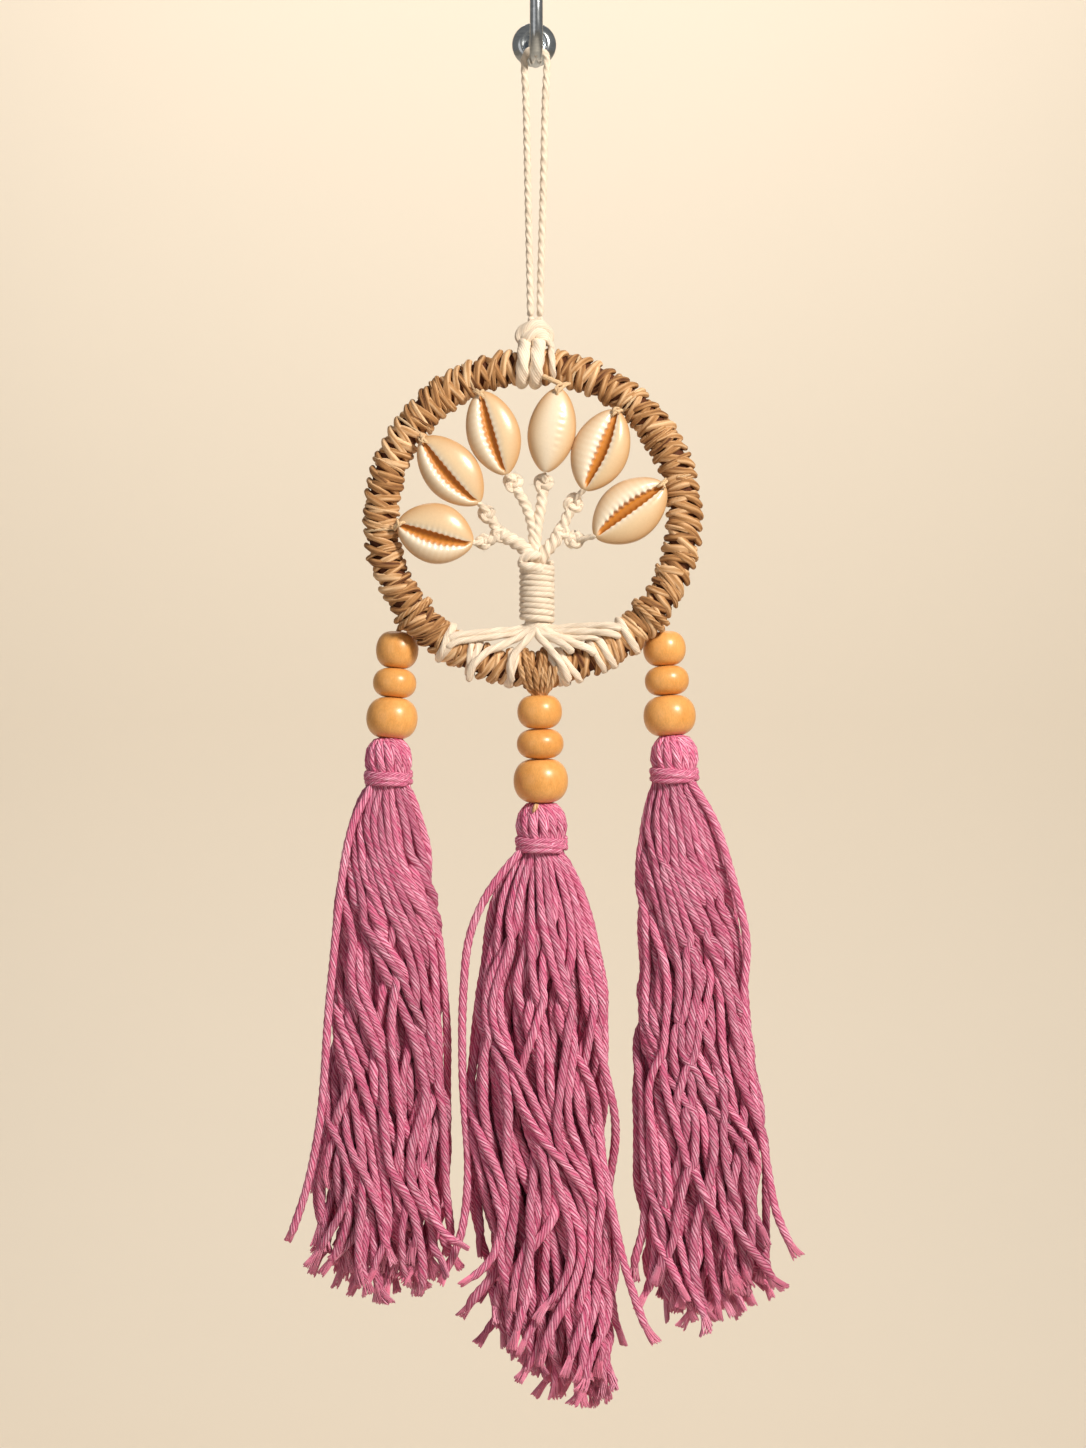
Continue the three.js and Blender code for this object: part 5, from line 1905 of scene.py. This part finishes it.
@dataclass
class Tassels:
    """The three yarn tassels."""

    shop: Workshop
    yarns: int = 80
    outer_yarns: int = 27
    yarn: float = 1.36
    threads: int = 16
    level: float = 1.5
    thread: float = 0.27
    bundles: int = 28
    band_tall: float = 5.2
    band_strand: float = 0.82
    band_turns: float = 2.75
    neck: float = 5.4
    gather: float = 5.6
    passes: int = 46
    closeness: float = 0.94
    push: float = 0.42
    own_share: float = 0.55
    next_share: float = 0.225
    depth_ratio: float = 0.62
    depth_limit: float = 13.0
    places: tuple[TasselPlace, ...] = (
        TasselPlace(
            "left", -43.0, -14.4, -207.7, -216.2, 13.9, 130,
            ((-73, 130), (-66, 137), (-56, 147), (-45.3, 152), (-35, 149), (-27.6, 143), (-20, 134)),
            (
                (0, -49.4, -36.6), (3, -53.2, -34.0), (13, -55.6, -31.2), (36, -59.4, -27.4),
                (66, -60.6, -24.6), (95, -64.0, -23.6), (150, -68.0, -24.6),
            ),
            3,
            (
                ((0, -47.0, -18.0), (14, -53.6, -20.0), (60, -59.6, -21.0), (98, -62.6, -21.0),
                 (118, -66.4, -20.0), (134, -71.6, -19.0)),
                ((60, -30.0, -18.0), (92, -32.4, -21.0), (112, -33.0, -23.0), (124, -31.0, -23.5),
                 (131, -27.0, -24.0), (134, -23.6, -24.0), (135.2, -20.6, -24.0)),
            ),
        ),
        TasselPlace(
            "middle", 2.2, -16.2, -226.7, -235.6, 15.0, 35,
            (
                (-26, 127), (-18, 135), (-10, 145), (-2, 154), (6.2, 161), (16.5, 164),
                (26, 161), (30, 151), (34, 144),
            ),
            (
                (0, -4.6, 9.0), (3, -8.0, 12.2), (14, -13.8, 16.6), (43, -19.2, 22.8),
                (73, -20.8, 25.8), (102, -21.4, 26.4), (170, -17.0, 25.4),
            ),
            4,
            (
                ((0, -2.6, -20.0), (5, -7.4, -20.5), (14, -13.9, -20.0), (26, -18.9, -19.0),
                 (43, -20.8, -18.5), (67, -21.0, -18.5), (96, -19.4, -19.5), (114, -21.6, -19.5),
                 (126, -26.6, -19.0)),
                ((70, -4.0, -20.0), (96, -6.6, -24.0), (112, -9.6, -26.0), (119, -12.1, -26.5),
                 (123.4, -15.9, -26.5), (126, -19.6, -26.5)),
                ((80, 18.0, -20.0), (104, 22.6, -24.0), (120, 26.0, -25.0), (134, 30.4, -25.0),
                 (141, 33.0, -25.0)),
            ),
        ),
        TasselPlace(
            "right", 41.4, -14.4, -206.9, -215.1, 14.1, 100,
            ((26, 144), (31.2, 152), (40, 158), (48.8, 161), (60, 157), (70.9, 149), (76.2, 138)),
            (
                (0, 34.8, 48.0), (5, 32.0, 52.0), (20, 30.0, 56.8), (49, 29.2, 62.0),
                (79, 28.6, 65.2), (108, 28.8, 70.2), (165, 31.0, 71.6),
            ),
            5,
            (
                ((0, 45.2, -18.0), (12, 52.6, -20.0), (30, 58.4, -20.5), (48, 62.4, -20.0),
                 (66, 61.6, -19.0), (90, 64.2, -18.0), (112, 68.2, -18.0), (128, 71.4, -17.0),
                 (139, 76.2, -16.0)),
            ),
        ),
    )

    def band_foot(self, place: TasselPlace) -> float:
        """The height where the band ends and the skirt comes out."""
        return place.head_foot - GAP - self.band_tall

    def oval(self, place: TasselPlace, drop: Points) -> tuple[Points, Points, Points]:
        """The skirt's oval at each drop.

        Args:
            place: The tassel.
            drop: Drops below the band.

        Returns:
            Its middle across, half its width and half its depth.
        """
        table = np.array(place.skirt)
        left = np.interp(drop, table[:, 0], table[:, 1])
        right = np.interp(drop, table[:, 0], table[:, 2])
        half = (right - left) / 2
        return (left + right) / 2, half, np.minimum(self.depth_ratio * half, self.depth_limit)

    def flow(self, place: TasselPlace) -> tuple[Points, Points, Points, Points]:
        """Hangs the yarns so that they pass beside each other.

        Args:
            place: The tassel.

        Returns:
            The levels, each yarn's places across and back and its radius there, and its reach down.
        """
        rng = np.random.default_rng(place.seed)
        count, outer = self.yarns, self.outer_yarns
        hem = np.array(place.hem)
        drops = np.arange(-2.5, hem[:, 1].max() + 3.0, self.level)
        number = np.arange(count)
        is_outer = number < outer
        inner_share = 0.80 * np.sqrt((number - outer + 0.5).clip(0) / (count - outer))
        share = np.where(is_outer, 0.96 - 0.14 * (number % 3 == 1), inner_share)
        angle = np.where(is_outer, number * TURN / outer, number * GOLDEN_ANGLE)
        angle = angle + rng.normal(0, 0.05, count)
        middle, half, deep = self.oval(place, drops.clip(0))
        swirl = math.radians(place.swirl) * smoothstep(drops, 0, 105)
        starts = [
            (1.5 * np.sin(angle + k) + rng.normal(0, 1.0, count) + rng.uniform(0, TURN))[:, None]
            for k in range(4)
        ]
        long_wave, short_wave = rng.uniform(95, 130, count), rng.uniform(46, 62, count)
        drift = rng.normal(0, 0.60, count)[:, None] * smoothstep(drops, 5, 110)[None, :]
        grown = smoothstep(drops, 4, 45)[None, :]
        long_turn = TURN * drops[None, :] / long_wave[:, None]
        short_turn = TURN * drops[None, :] / short_wave[:, None]
        turn = angle[:, None] + swirl[None, :] * share[:, None] + drift
        turn = turn + grown * 0.36 * np.sin(long_turn + starts[0])
        turn = turn + grown * 0.15 * np.sin(short_turn + starts[1])
        out = share[:, None] + grown * 0.15 * np.sin(long_turn + starts[2])
        out = out + grown * 0.04 * np.sin(short_turn + starts[3])
        out = np.clip(out, 0.02, 1.0)
        opened = smoothstep(drops, -2.5, 4.5)[None, :]
        full = smoothstep(drops, 0, 27)[None, :]
        pressed = np.where(is_outer, 0.77, 0.42)[:, None] * (1 - full) + full
        radius = self.yarn * rng.uniform(0.84, 1.10, count)[:, None] * pressed
        wide = (half[None, :] - radius) * opened + self.gather * (1 - opened)
        back = (deep[None, :] - radius) * opened + self.gather * (1 - opened)
        centre = middle[None, :] * opened + place.x * (1 - opened)
        spots = np.stack((centre + wide * out * np.cos(turn), place.y + back * out * np.sin(turn)), axis=2)
        spots = self.settle(spots, radius, centre, wide, back, place.y)
        short = 2.4 + np.abs(rng.normal(0, 7.0, count))
        short = short + rng.uniform(9, 24, count) * (rng.random(count) < 0.18)
        low = np.interp(spots[:, :, 0], hem[:, 0], hem[:, 1]) - short[:, None]
        reach = drops[np.argmax(drops[None, :] > low, axis=1)]
        return drops, spots, radius, reach

    def settle(
        self, spots: Points, radius: Points, centre: Points, wide: Points, back: Points, y: float
    ) -> Points:
        """Pushes yarns apart at every level, and keeps each one smooth and inside the skirt.

        Args:
            spots: Each yarn's places across and back at each level.
            radius: Each yarn's radius at each level.
            centre: The oval's middle across.
            wide: Half the oval's width that a yarn's middle may reach.
            back: Half the oval's depth that a yarn's middle may reach.
            y: The tassel's middle from front to back.

        Returns:
            The settled places.
        """
        axis = np.stack((centre, np.full_like(centre, y)), axis=2)
        room = np.stack((wide, back), axis=2)
        count = len(spots)
        apart = (radius[:, None, :] + radius[None, :, :]) * self.closeness
        own = np.eye(count, dtype=bool)[:, :, None]
        for _ in range(self.passes):
            gap = spots[:, None, :, :] - spots[None, :, :, :]
            far = np.sqrt((gap**2).sum(axis=3)) + 1e-6
            push = np.where(own, 0.0, np.clip(apart - far, 0.0, None)) / far
            spots = spots + self.push * (gap * push[..., None]).sum(axis=1)
            beside = spots[:, :-2] + spots[:, 2:]
            spots[:, 1:-1] = self.own_share * spots[:, 1:-1] + self.next_share * beside
            arm = (spots - axis) / room
            over = np.sqrt((arm**2).sum(axis=2, keepdims=True))
            spots = axis + arm * room / np.maximum(over, 1.0)
        return spots

    def skirt(self, chains: Chains, ends: Chains, place: TasselPlace) -> None:
        """Hangs a tassel's yarns.

        Args:
            chains: Where the yarns are added.
            ends: Where the threads of their cut ends are added.
            place: The tassel.
        """
        rng = np.random.default_rng(place.seed + 40)
        drops, spots, radius, reach = self.flow(place)
        top = self.band_foot(place)
        for stray in place.strays:
            line = flowing([(x, y, top + 1.5 - drop) for drop, x, y in stray], self.level)
            chains.tapered(line, 0.9, 0.8, 2.0)
            self.fray(ends, line, 0.8, rng)
        for number in range(self.yarns):
            keep = drops <= reach[number]
            line = np.column_stack((spots[number, keep], top - drops[keep]))
            left = reach[number] - drops[keep]
            lean = (rng.normal(0, 1.0, 2) * (2.0 + 3.0 * (rng.random() < 0.3))).clip(-4.5, 4.5)
            bend = smoothstep(22.0 - left, 0.0, 24.0) ** 1.6
            line[:, 0] += lean[0] * bend
            line[:, 1] += 0.5 * lean[1] * bend
            curl = rng.normal(0, 1.0) * smoothstep(9.0 - left, 0.0, 10.0) ** 2
            line[:, 0] += 1.6 * curl
            line[:, 2] += 0.5 * np.abs(curl) * (rng.random() < 0.4)
            thickness = radius[number, keep] / self.yarn
            thickness = thickness * (1.0 + 0.05 * np.sin(drops[keep] * rng.uniform(0.2, 0.5) + number))
            thickness[-3:] *= (0.85, 0.6, 0.0)
            thickness[0] = 0.0
            tone = rng.uniform(0.1, 1.0)
            chains.add(line, thickness, tone)
            self.fray(ends, line, tone, rng)

    def fray(self, ends: Chains, line: Points, tone: float, rng: np.random.Generator) -> None:
        """Opens a yarn's cut end into a soft, flat brush of its threads.

        Args:
            ends: Where the threads are added.
            line: The yarn's middle line.
            tone: The yarn's shade.
            rng: The source of their unevenness.
        """
        ahead = line[-2] - line[-5]
        ahead = ahead / np.linalg.norm(ahead)
        across = np.cross(ahead, BACK)
        across /= np.linalg.norm(across)
        facing = rng.normal(0, 0.6)
        side = math.cos(facing) * across + math.sin(facing) * np.cross(ahead, across)
        other = math.cos(facing) * np.cross(ahead, across) - math.sin(facing) * across
        long, flare = rng.uniform(3.2, 5.8), rng.uniform(0.1, 1.0)
        lean = rng.normal(0, 0.8, 2)
        share = np.array((0.0, 0.3, 0.55, 0.78, 0.96, 1.0))[:, None]
        for number in range(self.threads):
            turn = TURN * (number + rng.uniform(-0.3, 0.3)) / self.threads - 0.9 * share
            reach = -2.2 + (long * rng.uniform(0.86, 1.05) + 2.2) * share
            wide = self.yarn * (0.62 + flare * share**1.7)
            deep = self.yarn * (0.60 - 0.22 * share)
            bend = (lean[0] * side + lean[1] * other) * share**2
            curl = rng.normal(0, 0.16) * np.sin(share * rng.uniform(2, 5)) * share
            path = line[-2] + ahead * reach + side * (wide * np.cos(turn) + curl)
            path = path + other * deep * np.sin(turn) + bend
            ends.add(path, np.array((0.5, 1.0, 1.0, 1.0, 0.95, 0.0)), min(1.4, tone + 0.5))

    def head(self, chains: Chains, place: TasselPlace) -> None:
        """Adds the bundles of yarn over the head, slanted both ways.

        Args:
            chains: Where they are added.
            place: The tassel.
        """
        rng = np.random.default_rng(place.seed + 80)
        half, tall = place.width / 2, place.head_top - place.head_foot
        rise = np.array((1.04, 1.03, 0.98, 0.88, 0.73, 0.53, 0.31, 0.12, -0.02, -0.22, -0.5))
        reach = np.array((0.12, 0.36, 0.57, 0.75, 0.88, 0.97, 0.995, 0.955, 0.86, 0.78, 0.76))
        for number in range(self.bundles):
            side = 1.0 if number % 2 else -1.0
            start = TURN * (number + 0.5 * rng.uniform(-0.4, 0.4)) / self.bundles
            slant = side * rng.uniform(0.24, 0.40) * np.linspace(-0.8, 1.0, len(rise))
            over = 0.14 * side * np.sin(np.linspace(0, math.pi, len(rise)))
            out = (half - 1.1) * reach / 0.995 + over
            z = place.head_foot + tall * rise - 0.7
            line = self.ring(place, start + slant, out, z)
            chains.tapered(flowing(line, 0.8), 1.16 / self.yarn, rng.uniform(0.6, 1.25), 1.0)
        heights = place.head_foot + tall * np.linspace(-0.3, 0.84, 9) - 0.6
        rest = [(place.x, place.y, z) for z in heights]
        chains.tapered(np.array(rest), 0.74 * half / self.yarn, 0.3, 3.5)

    def ring(self, place: TasselPlace, angle: Points, out: Points, height: Points) -> Points:
        """Points round a tassel's middle, at distances out of it and at heights."""
        x, y = place.x + out * np.cos(angle), place.y + out * np.sin(angle)
        return np.column_stack((x, y, height))

    def band(self, place: TasselPlace) -> None:
        """Winds the band round the neck.

        Args:
            place: The tassel.
        """
        rng = np.random.default_rng(place.seed + 120)
        strand, turns = self.band_strand, self.band_turns
        reach = place.width / 2 + 0.25 - strand
        top = place.head_foot - GAP - strand
        foot = self.band_foot(place) + strand
        chains = Chains()
        turn = np.linspace(-0.2, turns, 180)
        sway = np.interp(turn, np.linspace(-0.2, turns, 26), rng.normal(0, 0.20, 26))
        height = np.interp(turn, (0.0, turns - 0.2), (top, foot)) + sway
        swell = 0.12 * np.sin(turn * 9.0 + place.seed)
        chains.tapered(self.ring(place, turn * TURN + 1.1, reach + swell, height), 1.0, 1.05)
        cross = np.linspace(-0.42, 0.30, 60)
        fall = np.interp(cross, (-0.42, 0.30), (top - 0.3, foot + 0.4))
        down = self.ring(place, cross * TURN - 1.57, reach + 0.30 - 2.2 * cross**2, fall)
        chains.tapered(down, 1.0, 1.2)
        back = self.ring(place, -cross * TURN - 1.3, reach + 0.24 - 2.4 * cross**2, fall)
        chains.tapered(back, 0.9, 1.1)
        inner = [(place.x, place.y, z) for z in np.linspace(foot - 1.2, top + 1.4, 10)]
        chains.tapered(np.array(inner), self.neck / strand, 0.1, 1.6)
        section = Section(strand, plies=4, ridge=0.06, lay=9.0, step=0.8, facets=10, uneven=0.03)
        node = f"tassel_band_{place.name}"
        self.shop.spin(f"tassel_binding_{place.name}", chains, section, Slot.YARN, node)

    def build(self) -> None:
        """Makes each tassel and its band."""
        section = Section(self.yarn, plies=4, ridge=0.075, lay=13.2, step=self.level, facets=8, uneven=0.05)
        loose = Section(self.thread, plies=0, ridge=0.0, lay=0.0, step=0.0, facets=3)
        for place in self.places:
            chains, ends = Chains(), Chains()
            self.skirt(chains, ends, place)
            self.head(chains, place)
            self.shop.spin(f"yarn_tassel_{place.name}", chains, section, Slot.YARN, f"tassel_{place.name}")
            self.shop.spin(f"yarn_ends_{place.name}", ends, loose, Slot.YARN, finish=self.shop.yarn_threads)
            self.band(place)


# The studio


@dataclass
class Studio:
    """Camera, lights, floor and backdrop."""

    camera_place: Place = (2.65, -1023.6, -203.2)
    lens: float = 85.0
    floor: float = -900.0
    wall: float = 2900.0

    def camera(self) -> None:
        """Sets the camera level in front of the hoop, at the photograph's framing."""
        data = bpy.data.cameras.new("camera")
        data.lens = self.lens
        data.sensor_width = 36.0
        data.clip_start = 0.01
        thing = in_scene("camera", data)
        thing.location = Vector(self.camera_place) * MM
        thing.rotation_euler = (math.pi / 2, 0.0, 0.0)
        bpy.context.scene.camera = thing

    def light(
        self, name: str, place: Place, target: Place, size: float, power: float, colour: Colour
    ) -> None:
        """Adds one soft light.

        Args:
            name: Its name.
            place: Where it stands.
            target: Where it points.
            size: Its width, in metres.
            power: Its power, in watts.
            colour: Its colour.
        """
        data = bpy.data.lights.new(name, "AREA")
        data.shape = "DISK"
        data.size = size
        data.energy = power
        data.color = colour
        thing = in_scene(name, data)
        thing.location = Vector(place) * MM
        thing.rotation_euler = (Vector(target) - Vector(place)).to_track_quat("-Z", "Y").to_euler()

    def sweep(self) -> None:
        """Makes the floor, which curves up into a backdrop far behind."""
        bend, wide = 700.0, 5200.0
        rows = [(-3200.0, self.floor), (self.wall - bend, self.floor)]
        for angle in np.linspace(0.0, math.pi / 2, 15)[1:]:
            back, up = bend * math.sin(angle), bend * (1 - math.cos(angle))
            rows.append((self.wall - bend + back, self.floor + up))
        rows.append((self.wall, 3600.0))
        points = np.array([(x, y, z) for y, z in rows for x in (-wide, wide)])
        faces = [(2 * i, 2 * i + 1, 2 * i + 3, 2 * i + 2) for i in range(len(rows) - 1)]
        piece = plain_piece("pale_floor", points, faces, StageFinish().make())

    def surroundings(self) -> None:
        """Gives the space round the stage its soft pale light."""
        world = bpy.data.worlds.new("pale air")
        bpy.context.scene.world = world
        world.use_nodes = True
        world.node_tree.nodes.clear()
        network = Network(world.node_tree)
        air = network.add("ShaderNodeBackground", {}, {"Color": (0.96, 0.92, 0.86, 1.0), "Strength": 0.25})
        network.add("ShaderNodeOutputWorld", {}, {"Surface": air.outputs[0]})

    def build(self) -> None:
        """Sets up the studio."""
        aim = (0.0, -18.0, -200.0)
        self.sweep()
        self.light("key", (640, -820, 420), aim, 0.28, 17.5, (1.0, 0.92, 0.80))
        self.light("fill", (-900, -1100, -60), aim, 1.1, 1.9, (1.0, 0.95, 0.90))
        self.light("backdrop light", (0, 1300, 1500), (0, 2900, -100), 1.6, 39.0, (1.0, 0.95, 0.88))
        self.surroundings()
        scene = bpy.context.scene
        scene.view_settings.view_transform = "Standard"
        scene.view_settings.look = "None"


def main() -> None:
    """Builds every piece in order."""
    logging.basicConfig(level=logging.INFO, format="%(name)s: %(message)s")
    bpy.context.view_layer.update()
    studio = Studio()
    studio.camera()
    finishes = {
        Slot.STEEL: SteelFinish().make(),
        Slot.COTTON: COTTON.make(),
        Slot.RAFFIA: RaffiaFinish().make(),
        Slot.SHELL: ShellFinish().make(),
        Slot.WOOD: WoodFinish().make(),
        Slot.YARN: YARN.make(),
    }
    shop = Workshop(Spinner(), finishes, JUTE.make(), YARN_THREADS.make())
    for assembly in (HangingCord, WallHook, TopKnot, Hoop, Shells, Tree, Beads, Tassels):
        assembly(shop).build()
    studio.build()


if __name__ == "__main__":
    main()
